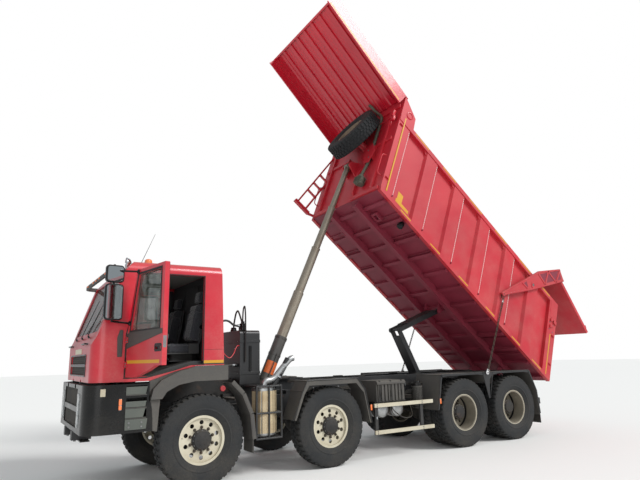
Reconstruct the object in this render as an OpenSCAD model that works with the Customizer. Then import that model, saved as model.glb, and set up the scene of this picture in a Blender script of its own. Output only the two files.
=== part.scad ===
// Four-axle mining dump truck with a raised tipper bed, lifted tailgate and open driver's door.
// Built from the centre of the first axle at ground level: X forward, Y left, Z up.

/* [Wheels and axles] */
// Tyre outside diameter
tyre_d = 1226; // [1150:1:1240]
// Tyre section width
tyre_w = 325; // [280:1:335]
// Rim seat diameter
rim_d = 610; // [580:1:630]
// Rim width between the flanges
rim_w = 230; // [200:1:250]
// Height of a wheel's centre above the ground when loaded by the empty truck
hub_z = 613; // [600:1:640]
// Centre plane to the middle of a steered wheel
steer_y = 1020; // [1010:1:1030]
// Centre plane to the middle of a pair of twin wheels
twin_y = 913; // [905:1:920]
// Distance between the two wheels of a pair
twin_pitch = 350; // [345:1:360]
// Centre plane to the kingpin
kingpin_y = 900; // [890:1:905]
// Distance from the first axle back to the second
axle_2 = 2130; // [2100:1:2160]
// Distance from the first axle back to the third
axle_3 = 5080; // [5060:1:5120]
// Distance from the first axle back to the fourth
axle_4 = 6490; // [6470:1:6530]

/* [Frame] */
// Outside width of the frame rails
rail_w = 850; // [820:1:870]
// Height of a frame rail
rail_h = 300; // [280:1:310]
// Top of the frame rails above the ground
rail_top = 1100; // [1090:1:1110]
// Plate thickness of a frame rail
rail_t = 10; // [8:1:14]
// Width of a rail flange
rail_flange = 90; // [70:1:100]
// Top of the tipping subframe above the ground
sub_top = 1320; // [1300:1:1330]
// Front end of the frame ahead of the first axle
frame_front = 1380; // [1340:1:1400]
// Rear end of the frame behind the first axle
frame_rear = 6990; // [6960:1:7010]

/* [Cab] */
// Width over the cab sides
cab_w = 2300; // [2280:1:2320]
// Cab wall thickness
cab_t = 60; // [50:1:70]
// Front of the cab ahead of the first axle
cab_front_x = 1500; // [1480:1:1510]
// Rear wall of the cab behind the first axle
cab_rear_x = 300; // [280:1:320]
// Roof height above the ground
roof_z = 3060; // [3040:1:3100]
// Height of the window line at the front
belt_z = 2040; // [2020:1:2060]
// Lower edge of the cab at the front
skirt_z = 1440; // [1436:1:1450]
// Lower edge of the cab above the wheel arch
arch_z = 1620; // [1610:1:1640]
// Door opening, rear edge ahead of the first axle
door_rear_x = 20; // [0:1:40]
// Door hinge line ahead of the first axle
door_hinge_x = 1090; // [1080:1:1096]
// Gap around a door
door_gap = 6; // [5:1:9]
// Angle at which the driver's door stands open
door_open = 80; // [70:1:82]

/* [Bed] */
// Overall width of the bed
bed_w = 2500; // [2480:1:2510]
// Length of the bed floor
bed_len = 5700; // [5650:1:5720]
// Floor of the bed behind the tipping hinge
bed_tail = 520; // [500:1:540]
// Height of the bed sides, square to the floor
side_h = 1660; // [1640:1:1680]
// Forward lean of the ribs, the ends and the tailgate
lean = 19; // [17:0.5:20]
// Depth of a side wall over its ribs
side_d = 80; // [70:1:90]
// Plate thickness of the bed
bed_plate = 10; // [8:1:14]
// Underside of the floor above the hinge pin
floor_rise = 270; // [262:1:280]
// Depth of the beams under the floor
beam_h = 136; // [120:1:138]
// Angle at which the bed stands raised
bed_tilt = 40; // [38:0.5:41]
// Hinge pin behind the first axle
hinge_back = 7100; // [7090:1:7120]
// Hinge pin above the ground
hinge_z = 1200; // [1195:1:1210]
// Reach of the canopy ahead of the front wall
canopy_len = 2460; // [2360:1:2500]
// Upward slope of the canopy
canopy_rise = 6; // [5:0.5:7]
// Angle at which the tailgate stands open
gate_open = 54.4; // [52:0.1:56]

/* [Hoist and stabilizer] */
// Trunnion of the hoist behind the first axle
hoist_back = 1380; // [1370:1:1390]
// Trunnion of the hoist above the ground
hoist_z = 1050; // [1045:1:1055]
// Outside diameter of the hoist barrel
barrel_d = 216; // [205:1:225]
// Number of sliding stages
stages = 4; // [4:1:4]
// Length of each stabilizer arm between pins
arm_len = 1150; // [1145:1:1155]

/* [Hidden] */
$fn = 48;

// Colours of the finished truck
red = "#C8202E";
cream = "#D9D3BF";
black = "#1C1D1F";
rubber = "#26272A";
plastic = "#53524C";
steel = "#A9ABAC";
glass = "#88959B";
orange = "#F07020";

// Running clearances: between moving pieces, and between a pin and its bore
clear = 6;
fit = 0.5;

axle_back = [0, axle_2, axle_3, axle_4];
wheel_r = tyre_d / 2;
seat_r = rim_d / 2;
flange_r = seat_r + 26;

// Turns a point [x, z] about a centre, raising what lies ahead of it
function swung(p, c, a) = let (d = p - c) c + [d[0] * cos(a) - d[1] * sin(a), d[0] * sin(a) + d[1] * cos(a)];
// Helpers: boxes by their corners, outlines set upright
module span(x, y, z) {
    translate([min(x), min(y), min(z)]) cube([abs(x[1] - x[0]), abs(y[1] - y[0]), abs(z[1] - z[0])]);
}
// Outline in X and Z, thick along Y
module side_on(y) {
    translate([0, max(y), 0]) rotate([90, 0, 0]) linear_extrude(abs(y[1] - y[0])) children();
}
// Outline in Y and Z, thick along X
module end_on(x) {
    translate([min(x), 0, 0]) rotate([90, 0, 90]) linear_extrude(abs(x[1] - x[0])) children();
}
// Shaft along Y
module shaft(x, z, r, y) {
    translate([x, max(y), z]) rotate([90, 0, 0]) cylinder(r = r, h = abs(y[1] - y[0]));
}
module both_sides() {
    children();
    mirror([0, 1, 0]) children();
}
// Rectangle with round corners, from its middle
module soft_rect(w, h, r) {
    square([w - 2 * r, h], center = true);
    square([w, h - 2 * r], center = true);
    for (a = [-1, 1], b = [-1, 1]) translate([a * (w / 2 - r), b * (h / 2 - r)]) circle(r);
}
// Turns a profile of [radius, place along Y] points round the Y axis
module wheel_turn(points) {
    rotate([-90, 0, 0]) rotate_extrude($fn = 64) polygon(points);
}
// Turns pieces about an axis along Y through a point, raising what lies ahead of it
module turn_up(x, z, angle) {
    translate([x, 0, z]) rotate([0, -angle, 0]) translate([-x, 0, -z]) children();
}

// Wheels
tread_w = tyre_w - 68;
bead_w = rim_w - 16;
module tyre(y) {
    half = [
        [seat_r + 0.3, bead_w / 2 - 0.3], [flange_r + 1, bead_w / 2 - 0.3], [flange_r + 5, bead_w / 2 + 14],
        [seat_r + 150, tyre_w / 2],
        [wheel_r - 62, tyre_w / 2 - 8], [wheel_r - 12, tread_w / 2 + 14], [wheel_r, tread_w / 2]];
    color(rubber) translate([0, y, hub_z]) wheel_turn(concat(half, [
        for (i = [len(half) - 1:-1:0]) [half[i][0], -half[i][1]]]));
}
rim_t = 12;
disc_t = 16;
hub_r = 140;
hole_ring_r = 232;
hand_hole_r = 30;
hand_holes = 10;
// Rim barrel with its two flanges, centred at y
module rim_barrel(y) {
    outer = rim_w / 2;
    translate([0, y, hub_z]) wheel_turn([
        [seat_r - rim_t, -outer], [flange_r, -outer], [flange_r, -outer + 8], [seat_r, -bead_w / 2],
        [seat_r, bead_w / 2], [flange_r, outer - 8], [flange_r, outer], [seat_r - rim_t, outer]]);
}
// Wheel disc with its hand holes, its outer face at y
module rim_disc(y) {
    translate([0, y, hub_z]) difference() {
        rotate([90, 0, 0]) cylinder(r = seat_r - rim_t + 2, h = disc_t);
        for (i = [0:hand_holes - 1]) rotate([0, (i + 0.5) * 360 / hand_holes, 0])
            translate([hole_ring_r, 10, 0]) rotate([90, 0, 0]) cylinder(r = hand_hole_r, h = disc_t + 20);
    }
}
spindle_r = 70;
module steered_rim() {
    disc_y = steer_y + 78;
    color(cream) difference() {
        union() {
            rim_barrel(steer_y);
            rim_disc(disc_y);
            // Hub with its reduction gear cover
            translate([0, 0, hub_z]) wheel_turn([
                [0, steer_y - 50], [hub_r + 14, steer_y - 50], [hub_r + 14, disc_y - disc_t],
                [hub_r, disc_y], [hub_r, disc_y + 24], [hub_r - 28, disc_y + 52], [0, disc_y + 60]]);
        }
        shaft(0, hub_z, spindle_r + clear, [steer_y - 70, steer_y + 46]);
    }
}
axle_tube_r = 80;
module twin_rim() {
    mate_y = twin_y - 6;
    color(cream) difference() {
        union() {
            for (s = [-1, 1]) rim_barrel(twin_y + s * twin_pitch / 2);
            rim_disc(mate_y + disc_t);
            rim_disc(mate_y);
            // The two discs meet; the hub reaches out past the outer one
            translate([0, 0, hub_z]) wheel_turn([
                [0, mate_y - 190], [hub_r + 30, mate_y - 190], [hub_r + 14, mate_y - disc_t],
                [hub_r, mate_y + disc_t], [hub_r, mate_y + 150], [hub_r - 30, mate_y + 190], [0, mate_y + 196]]);
        }
        shaft(0, hub_z, axle_tube_r + clear, [mate_y - 200, mate_y + 90]);
    }
}
module at_axle(n, side) {
    translate([-axle_back[n - 1], 0, 0]) mirror([0, side == "r" ? 1 : 0, 0]) children();
}
module wheel_tyre(n, side) {
    at_axle(n, side) if (n <= 2) tyre(steer_y);
    else for (s = [-1, 1]) tyre(twin_y + s * twin_pitch / 2);
}
module wheel_rim(n, side) {
    at_axle(n, side) if (n <= 2) steered_rim();
    else twin_rim();
}

// Axles, knuckles and springs
yoke_z = 190;
yoke_t = 36;
kingpin_r = 32;
kingpin_boss_r = 56;
module knuckle(n, side) {
    at_axle(n, side) color(black) difference() {
        union() {
            translate([0, kingpin_y, hub_z - yoke_z + clear])
                cylinder(r = kingpin_boss_r, h = 2 * (yoke_z - clear));
            shaft(0, hub_z, spindle_r, [kingpin_y, steer_y + 40]);
            // Brake back plate
            shaft(0, hub_z, 178, [kingpin_y + 22, kingpin_y + 36]);
        }
        translate([0, kingpin_y, hub_z - yoke_z - 1]) cylinder(r = kingpin_r + fit, h = 2 * yoke_z + 2);
    }
}
module steered_axle() {
    inner = kingpin_y - 110;
    span([-75, 75], [-inner, inner], [hub_z - 70, hub_z + 70]);
    both_sides() {
        // Yoke: an upright and two lugs that hold the kingpin
        span([-60, 60], [inner - 60, inner + 24], [hub_z - yoke_z - yoke_t, hub_z + yoke_z + yoke_t]);
        for (z = [hub_z - yoke_z - yoke_t, hub_z + yoke_z]) {
            span([-50, 50], [inner, kingpin_y], [z, z + yoke_t]);
            translate([0, kingpin_y, z]) cylinder(r = 50, h = yoke_t);
        }
        translate([0, kingpin_y, hub_z - yoke_z - yoke_t]) cylinder(r = kingpin_r, h = 2 * (yoke_z + yoke_t));
    }
    // Differential housing
    translate([0, 0, hub_z]) sphere(r = 210);
}
module driven_axle() {
    span([-80, 80], [-twin_y + 215, twin_y - 215], [hub_z - 80, hub_z + 80]);
    both_sides() shaft(0, hub_z, axle_tube_r, [twin_y - 220, twin_y + 74]);
    translate([0, 0, hub_z]) sphere(r = 230);
}
spring_y = 385;
spring_w = 90;
// Leaf spring as a slim bow between its hangers, resting on the axle
module leaf_spring(half, foot, top) {
    side_on([spring_y - spring_w / 2, spring_y + spring_w / 2]) polygon([
        [-half, top], [-half, top - 40], [-90, foot], [90, foot], [half, top - 40], [half, top]]);
}
module axles() {
    color(black) {
        for (n = [0, 1]) translate([-axle_back[n], 0, 0]) {
            steered_axle();
            both_sides() leaf_spring(600, hub_z + 70, rail_top - rail_h);
        }
        for (n = [2, 3]) translate([-axle_back[n], 0, 0]) driven_axle();
        // Bogie springs turn over a trunnion between the rear axles
        both_sides() {
            translate([-(axle_3 + axle_4) / 2, 0, 0]) side_on([spring_y - spring_w / 2, spring_y + spring_w / 2])
                polygon([[-780, hub_z + 80], [-780, hub_z + 110], [-130, rail_top - rail_h],
                    [130, rail_top - rail_h], [780, hub_z + 110], [780, hub_z + 80], [130, hub_z + 40],
                    [-130, hub_z + 40]]);
        }
    }
}

// Frame
rail_y = rail_w / 2;
// Where cross-members join the rails, distance behind the first axle
cross_back = [-1320, 2700, 3900, 5785, 6930];
hinge_lug_t = 40;
hinge_pin_r = 30;
hoist_gap = 330;
trunnion_r = 36;
anchor_y = 1275;
anchor_back = 5720;
anchor_z = 1310;
chain_len = 1606;
stab_back = 5050;
stab_z = 1180;
stab_w = 320;
stab_pin_r = 25;
module rail(bottom, top, front, rear) {
    span([front, -rear], [rail_y - rail_t, rail_y], [bottom, top]);
    for (z = [bottom, top - rail_t]) span([front, -rear], [rail_y - rail_flange, rail_y], [z, z + rail_t]);
}
module frame() {
    color(black) difference() {
        union() {
            both_sides() {
                rail(rail_top - rail_h, rail_top, frame_front, frame_rear);
                // Tipping subframe, from behind the hoist to the hinge
                rail(rail_top, sub_top, -1800, frame_rear);
                // Hinge lugs behind the last cross-member
                side_on([rail_y - 100, rail_y - 100 + hinge_lug_t]) hinge_lug();
                // Trunnion plates that carry the hoist
                span([-1800, -1100], [hoist_gap / 2, hoist_gap / 2 + 30], [hoist_z - 110, hoist_z + 110]);
                // Pivot plates of the stabilizer
                side_on([stab_w / 2 + 8, stab_w / 2 + 28]) {
                    translate([-stab_back - 90, rail_top - 60]) square([160, stab_z - rail_top + 60]);
                    translate([-stab_back, stab_z]) circle(50);
                }
                // Cab pivot lugs
                side_on([336, 366]) {
                    polygon([[frame_front - 200, rail_top - 5], [frame_front - 10, rail_top - 80],
                        [cab_pivot_x + 16, cab_pivot_z - 8], [cab_pivot_x - 16, cab_pivot_z + 4]]);
                    translate([cab_pivot_x, cab_pivot_z]) circle(24);
                }
                // Chain anchors on arms that stand out from the subframe
                span([-anchor_back - 22, -anchor_back + 22], [rail_y, anchor_y - 30],
                    [rail_top + 60, rail_top + 110]);
                span([-anchor_back - 22, -anchor_back + 22], [anchor_y - 60, anchor_y - 30],
                    [rail_top + 60, anchor_z + 25]);
                shaft(-anchor_back, anchor_z, 14, [anchor_y - 35, anchor_y + 18]);
            }
            for (b = cross_back) span([-b - 60, -b + 60], [-rail_y + rail_t, rail_y - rail_t],
                [rail_top - rail_h + 40, rail_top - 60]);
            // Cross-members that carry the hoist and the stabilizer
            for (x = [-1790, -1180]) span([x, x + 80], [-rail_y + rail_t, rail_y - rail_t],
                [hoist_z - 110, hoist_z + 110]);
            span([-stab_back - 90, -stab_back + 70], [-rail_y + rail_t, rail_y - rail_t],
                [rail_top - 100, rail_top - 40]);
            // Hinge pin
            shaft(-hinge_back, hinge_z, hinge_pin_r, [-rail_y - 40, rail_y + 40]);
            // Rear cross-member and towing jaw
            span([-frame_rear - 60, -frame_rear], [-rail_y, rail_y], [rail_top - rail_h, rail_top - 30]);
            difference() {
                span([-frame_rear - 250, -frame_rear - 60], [-80, 80], [rail_top - 250, rail_top - 110]);
                span([-frame_rear - 260, -frame_rear - 120], [-90, 90], [rail_top - 215, rail_top - 145]);
            }
            // Underrun bar
            span([-frame_rear - 380, -frame_rear - 280], [-1180, 1180], [620, 740]);
            both_sides() span([-frame_rear - 380, -frame_rear - 60], [300, 340], [620, rail_top - 120]);
            // Front towing lugs
            both_sides() span([frame_front, frame_front + 190], [290, 410], [rail_top - 420, rail_top - 300]);
            both_sides() span([frame_front - 60, frame_front], [290, 410], [rail_top - 420, rail_top - 240]);
        }
        // Bores of the hoist trunnions
        shaft(-hoist_back, hoist_z, trunnion_r + fit, [-hoist_gap / 2 - 40, hoist_gap / 2 + 40]);
        // Bores of the front towing lugs and the rear jaw
        both_sides() translate([frame_front + 140, 350, rail_top - 430]) cylinder(r = tow_pin_r, h = 140);
        translate([-frame_rear - 190, 0, rail_top - 260]) cylinder(r = tow_pin_r, h = 160);
    }
    // Pins of the stabilizer and the cab
    color(black) {
        shaft(-stab_back, stab_z, stab_pin_r, [-stab_w / 2 - 28, stab_w / 2 + 28]);
        both_sides() shaft(cab_pivot_x, cab_pivot_z, cab_pivot_r, [336, 410]);
    }
}
tow_pin_r = 20;
module hinge_lug() {
    difference() {
        polygon([[-frame_rear + 50, rail_top - 60], [-frame_rear + 50, sub_top - 5], [-frame_rear - 30, sub_top - 5],
            [-hinge_back - 60, hinge_z + 40], [-hinge_back - 60, hinge_z - 50], [-frame_rear - 60, rail_top - 100]]);
        translate([-hinge_back, hinge_z]) circle(hinge_pin_r);
    }
}

// Bumper, steps and lamps
bumper_front_x = cab_front_x + 60;
bumper_top = skirt_z - 30;
bumper_low = 800;
step_rear_x = 760;
step_front_x = 1070;
step_count = 4;
module nose_plan(x, w, r) {
    // Rounded front corners on a slab that reaches back to the origin
    translate([-400, -w]) square([x - r + 400, 2 * w]);
    translate([x - r - 1, -w + r]) square([r + 1, 2 * (w - r)]);
    for (s = [-1, 1]) translate([x - r, s * (w - r)]) circle(r);
}
module bumper() {
    w = cab_w / 2 + 40;
    color(black) {
        difference() {
            intersection() {
                translate([0, 0, bumper_low]) linear_extrude(bumper_top - bumper_low)
                    nose_plan(bumper_front_x, w, 230);
                span([step_front_x, bumper_front_x], [-w, w], [bumper_low, bumper_top]);
            }
            translate([0, 0, bumper_low - 1]) linear_extrude(bumper_top - bumper_low + 2)
                nose_plan(bumper_front_x - 70, w - 70, 170);
            // Open grille between the lamps, and its lower intake
            for (z = [[1130, 1360], [860, 1060]]) span([1400, 1600], [-620, 620], z);
            // Slots that the cab pivots reach through
            both_sides() span([1380, 1600], [310, 425], [1300, bumper_top + 1]);
            // Pockets of the headlamps
            both_sides() span([bumper_front_x - 28.3, bumper_front_x + 20], [lamp_y - 0.3, lamp_y + lamp_w + 0.3],
                [879.7, 1300.3]);
        }
        // Grille bars
        for (z = [1180, 1245, 1310, 910, 985]) span([bumper_front_x - 60, bumper_front_x - 30], [-640, 640], [z, z + 16]);
        // Brackets from the frame
        both_sides() span([frame_front - 200, bumper_front_x - 72], [rail_y, rail_y + 12], [rail_top - 220, rail_top - 20]);
        both_sides() span([bumper_front_x - 100, bumper_front_x - 60], [rail_y, rail_y + 200], [1066, 1120]);
        // Lower skid plate
        span([frame_front - 20, bumper_front_x - 80], [-560, 560], [rail_top - 436, rail_top - 420]);
    }
    // Boarding steps: four treads between a front and a rear cheek
    pitch = (bumper_top - bumper_low) / step_count;
    color(plastic) both_sides() {
        difference() {
            span([step_rear_x, step_front_x], [cab_w / 2 - 200, cab_w / 2 + 40], [bumper_low, bumper_top]);
            for (i = [0:step_count - 1]) span([step_rear_x + 30, step_front_x - 20],
                [cab_w / 2 - 170, cab_w / 2 + 50], [bumper_low + i * pitch + 40, bumper_low + i * pitch + 130]);
        }
        // Lower front part of the wheel arch, on the step box
        span([650, step_rear_x], [cab_w / 2, cab_w / 2 + 40], [bumper_low, 1180]);
        // Bracket from the rail to the step box
        span([820, 900], [rail_y, cab_w / 2 - 190], [rail_top - 90, rail_top - 50]);
    }
}
// The side guards' outer face stands this far out from the middle
guard_y = cab_w / 2 + 65;
lamp_y = 700;
lamp_w = 130;
module lamps() {
    color(glass) both_sides() {
        // Tall headlamp at the bumper's corner
        span([bumper_front_x - 28, bumper_front_x + 12], [lamp_y, lamp_y + lamp_w], [880, 1300]);
    }
    color(orange) both_sides() {
        span([1110, 1140], [cab_w / 2 + 40, cab_w / 2 + 52], [1090, 1230]);
        span([-guard_front - 60, -guard_front - 40], [guard_y - 26, guard_y - 14], [650, 690]);
    }
    color("#B01818") both_sides()
        span([-frame_rear - 395, -frame_rear - 380], [760, 1120], [630, 730]);
}

// Engine, exhaust, tanks, boxes
module engine() {
    between = rail_y - rail_flange - 10;
    color("#3A3C3E") {
        span([-780, 900], [-between, between], [rail_top - 250, skirt_z - 60]);
        // Gearbox and radiator
        span([-1080, -780], [-220, 220], [rail_top - 240, rail_top + 30]);
        span([1060, 1150], [-rail_y, rail_y], [rail_top, skirt_z - 60]);
        span([1060, 1150], [-between, between], [rail_top - 300, rail_top + 10]);
        // Mounts that rest on the rails
        for (x = [-700, 600]) both_sides() span([x, x + 120], [between - 10, rail_y - 5], [rail_top, rail_top + 60]);
    }
}
sil_front = 850;
sil_rear = 1250;
module exhaust() {
    color(steel) {
        // Silencer body on a bracket from the rail
        translate([-(sil_front + sil_rear) / 2, 900, 560]) cylinder(r = 176, h = 700);
        span([-sil_rear + 60, -sil_front - 60], [rail_y, 740], [rail_top - 270, rail_top - 210]);
        // Tailpipe that rises behind the silencer
        translate([-1210, 900, 1240]) rotate([0, -32, 0]) cylinder(r = 45, h = 520);
    }
    color(black) {
        // Tube guard around the silencer
        for (z = [520, 880, 1270]) difference() {
            span([-sil_rear - 20, -sil_front + 20], [700, 1110], [z, z + 26]);
            span([-sil_rear + 20, -sil_front - 20], [740, 1080], [z - 1, z + 27]);
        }
        for (x = [-sil_rear - 20, -sil_front - 6]) span([x, x + 26], [1084, 1110], [520, 1290]);
    }
}
module battery_box() {
    color(plastic) {
        box_out = guard_y - 95;
        span([-3700, -3080], [640, box_out], [920, 1260]);
        for (i = [0:7]) span([-3680 + i * 76, -3640 + i * 76], [box_out, box_out + 20], [930, 1250]);
    }
    color(black) {
        // Air tanks below and the air dryer behind, on brackets from the rail
        for (x = [-3560, -3220]) translate([x, 0, 780]) rotate([-90, 0, 0]) translate([0, 0, 520])
            cylinder(r = 130, h = 560);
        translate([-4200, 900, 740]) cylinder(r = 100, h = 440);
        span([-4240, -4160], [rail_y, 810], [900, 960]);
        for (x = [-3600, -3240]) span([x, x + 60], [rail_y, 660], [880, 930]);
        for (x = [-3600, -3240]) span([x, x + 60], [640, 700], [880, 925]);
    }
}
module fuel_tank() {
    color(steel) {
        tank_in = guard_y - 615;
        translate([-3950, -tank_in - 60, 840]) rotate([0, 90, 0]) linear_extrude(870)
            translate([0, -180]) soft_rect(560, 480, 90);
        for (x = [-3800, -3250]) span([x, x + 50], [-rail_y, -tank_in], [880, 960]);
    }
}
guard_front = 2960;
guard_rear = 4280;
module side_guards() {
    for (s = [-1, 1]) {
        color(cream) for (z = [[840, 900], [410, 470]])
            span([-guard_rear, -guard_front], [s * guard_y, s * (guard_y - 26)], z);
        color(black) for (x = [-guard_front - 50, -guard_rear + 260]) {
            span([x - 30, x + 30], [s * (guard_y - 26), s * (guard_y - 66)], [400, 910]);
            if (s > 0) span([x - 30, x + 30], [guard_y - 66, rail_y], [rail_top - rail_h + 30, rail_top - rail_h + 60]);
            else span([x - 30, x + 30], [-guard_y + 66, -rail_y], [rail_top - rail_h + 30, rail_top - rail_h + 60]);
        }
    }
}
guard_t = 8;
// Mudguard over a wheel: a bent plate whose outline is given as [x, z] points from front to rear
module plate_path(points, t, y) {
    side_on(y) for (i = [0:len(points) - 2]) {
        a = points[i];
        b = points[i + 1];
        d = [b[0] - a[0], b[1] - a[1]];
        n = [-d[1], d[0]] / norm(d);
        polygon([a, b, b + t * n, a + t * n]);
        translate(b) circle(t);
    }
}
module mudguards() {
    outer = 1240;
    color(black) both_sides() {
        // Behind the first wheel
        plate_path([[-390, 1350], [-560, 1180], [-690, 900], [-730, 560]], guard_t, [cab_w / 2 - 230, outer]);
        span([-700, -560], [rail_y, cab_w / 2 - 225], [1090, 1120]);
        span([-735, -725], [900, outer - 20], [380, 560]);
        // Over the second wheel
        translate([-axle_2, 0, 0]) {
            plate_path([[710, 760], [560, 1180], [480, 1330], [-480, 1330], [-620, 1150], [-730, 620]],
                guard_t, [830, outer]);
            side_on([outer - guard_t, outer]) polygon([[720, 760], [560, 1190], [480, 1340], [-480, 1340],
                [-620, 1150], [-735, 620], [-700, 620], [-600, 1100], [-450, 1260], [450, 1260], [540, 1130], [690, 760]]);
            for (x = [-400, 340]) span([x, x + 60], [rail_y, 840], [1290, 1330]);
        }
        // Over the rear wheels, one plate above both axles
        translate([-axle_3, 0, 0]) {
            plate_path([[710, 700], [560, 1310], [-540, 1310], [-590, 1150]], guard_t, [560, outer]);
            for (x = [-300, 240]) span([x, x + 60], [rail_y, 570], [1262, 1302]);
        }
        translate([-axle_4, 0, 0]) {
            plate_path([[650, 1100], [560, 1310], [-500, 1310], [-700, 900], [-740, 420]], guard_t, [560, outer]);
            for (x = [-300, 240]) span([x, x + 60], [rail_y, 570], [1262, 1302]);
        }
    }
}
tank_front = 800;
tank_rear = 1150;
tank_half = 560;
tank_low = 1250;
tank_top = 2150;
module oil_tank() {
    color(black) {
        translate([-(tank_front + tank_rear) / 2, 0, (tank_low + tank_top) / 2]) rotate([90, 0, 90])
            linear_extrude(tank_rear - tank_front, center = true) soft_rect(2 * tank_half, tank_top - tank_low, 60);
        // Carrier on the frame rails
        both_sides() span([-1080, -830], [rail_y - 80, rail_y], [rail_top, tank_low]);
        // Filter head and breather
        translate([-880, hose_y, tank_top]) cylinder(r = 45, h = 110);
        translate([-895, hose_y - 110, tank_top]) cylinder(r = 35, h = 80);
        // Outlet of the filter head
        translate([-880, hose_y, 2225]) rotate([0, 90, 0]) cylinder(r = 24, h = 60);
        // Fitting on the tank's front where the hose comes back
        translate([-tank_front + 60, hose_y, 1600]) rotate([0, -90, 0]) cylinder(r = 28, h = 60);
    }
}

// Hydraulic hose that loops from the filter head to the fitting on the tank's front
hose_y = 480;
hose_r = 17;
hose_points = [
    [-820, 480, 2225], [-780, 480, 2225], [-744, 480, 2230], [-710, 480, 2243], [-681, 480, 2266],
    [-636, 480, 2296], [-582, 480, 2307], [-528, 480, 2296], [-483, 480, 2266], [-453, 480, 2221],
    [-442, 480, 2167], [-442, 480, 2060], [-442, 480, 1900], [-442, 480, 1760], [-454, 480, 1699],
    [-489, 480, 1647], [-541, 480, 1612], [-602, 480, 1600], [-670, 480, 1600], [-740, 480, 1600]];
hose_sides = 8;
function unit(v) = v / norm(v);
// Direction at a point: the next minus the one before
function heading(p, i) = unit(p[min(i + 1, len(p) - 1)] - p[max(i - 1, 0)]);
function ring(c, d, r, n) = let (s = unit(cross(d, [0, 1, 0])), u = cross(s, d))
    [for (k = [0:n - 1]) c + r * (cos(k * 360 / n) * s + sin(k * 360 / n) * u)];
function mid(p) = [for (i = [0:2 * len(p) - 2]) i % 2 == 0 ? p[i / 2]
    : (p[(i - 1) / 2] + p[(i + 1) / 2]) / 2 + bulge(p, (i - 1) / 2)];
// Lifts the point halfway along a step onto the curve through its neighbours
function bulge(p, i) = i == 0 || i >= len(p) - 2 ? [0, 0, 0] : (p[i] + p[i + 1] - p[i - 1] - p[i + 2]) / 16;
module tube(points, r, n) {
    p = mid(points);
    m = len(p);
    polyhedron(
        points = [for (i = [0:m - 1]) each ring(p[i], heading(p, i), r, n)],
        faces = concat(
            [[for (k = [0:n - 1]) k]],
            [[for (k = [n - 1:-1:0]) (m - 1) * n + k]],
            [for (i = [0:m - 2], k = [0:n - 1]) [i * n + k, (i + 1) * n + k, (i + 1) * n + (k + 1) % n]],
            [for (i = [0:m - 2], k = [0:n - 1]) [i * n + k, (i + 1) * n + (k + 1) % n, i * n + (k + 1) % n]]));
}
module hose_a() {
    color(black) tube(hose_points, hose_r, hose_sides);
}

// Cab
cab_pivot_x = cab_front_x - 15;
cab_pivot_z = skirt_z - 15;
cab_pivot_r = 12;
windscreen_top_x = 1150;
roof_cut = 2950;
front_cut = door_hinge_x + 10;
// The cab as one solid, each face moved in by inset: a side outline, a plan and an end view in one
module cab_solid(inset) {
    i = inset;
    intersection() {
        side_on([-cab_w / 2 + i, cab_w / 2 - i]) polygon([
            [-cab_rear_x + i, arch_z + i], [-cab_rear_x + 50 + i, roof_z - i],
            [1010 - i, roof_z - i], [windscreen_top_x - i, roof_cut - 40 - i],
            [cab_front_x - 60 - i, belt_z - i], [cab_front_x - i, belt_z - 120 - i], [cab_front_x - i, skirt_z + i],
            [760 - i, skirt_z + i], [420 - i, arch_z - 70 + i], [120 - i, arch_z + i]]);
        translate([0, 0, skirt_z - 10]) linear_extrude(roof_z - skirt_z + 20)
            nose_plan(cab_front_x - i, cab_w / 2 - i, 170 - i);
        end_on([-500, 1700]) translate([0, (roof_z + 1000) / 2])
            soft_rect(cab_w - 2 * i, roof_z - 1000 - 2 * i, 130 - i);
    }
}
module cab_hollow() {
    difference() {
        cab_solid(0);
        cab_solid(cab_t);
    }
}
// Side outline of a door, its edges moved in by inset
module door_outline(inset) {
    i = inset;
    polygon([
        [door_rear_x + i, arch_z + 20 + i], [door_rear_x + i, roof_cut - 60 - i],
        [850 - i, roof_cut - 60 - i], [door_hinge_x - 10 - i, belt_z + 20],
        [door_hinge_x - 10 - i, skirt_z + 50 + i], [800, skirt_z + 50 + i], [440, arch_z - 50 + i],
        [200, arch_z + 20 + i]]);
}
module window_outline(inset) {
    i = inset;
    polygon([
        [door_rear_x + 100 + i, 2090 + i], [door_rear_x + 100 + i, roof_cut - 130 - i],
        [790 - i, roof_cut - 130 - i], [door_hinge_x - 105 - i, 2090 + i]]);
}
module door_cut(y) {
    side_on(y) door_outline(0);
}
floor_top = 60;
module cab_floor() {
    color("#3A3B3C") difference() {
        intersection() {
            cab_solid(0);
            side_on([-cab_w / 2, cab_w / 2]) polygon([
                [-cab_rear_x, arch_z - 10], [-cab_rear_x, arch_z + floor_top], [150, arch_z + floor_top],
                [450, arch_z - 10], [790, skirt_z + 50], [front_cut, skirt_z + 50], [front_cut, skirt_z - 10],
                [700, skirt_z - 10]]);
        }
        // Room for the doors, which reach down over the floor's edge
        both_sides() side_on([cab_w / 2 - cab_t - 12, cab_w / 2 + 1]) door_outline(-door_gap);
    }
    // Hinge arms down to the cab pivots
    color(black) both_sides() difference() {
        side_on([372, 402]) {
            polygon([[cab_pivot_x - 10, cab_pivot_z - 22], [cab_pivot_x + 10, cab_pivot_z + 14.7],
                [front_cut - 5, skirt_z - 0.3], [front_cut - 5, skirt_z + 40], [front_cut - 60, skirt_z + 40],
                [front_cut - 60, skirt_z - 20], [cab_pivot_x - 100, skirt_z - 60]]);
            translate([cab_pivot_x, cab_pivot_z]) circle(14.7 + 9);
        }
        shaft(cab_pivot_x, cab_pivot_z, cab_pivot_r + fit, [360, 420]);
        span([front_cut, 1600], [360, 420], [skirt_z - 0.3, skirt_z + 60]);
    }
}
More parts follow.
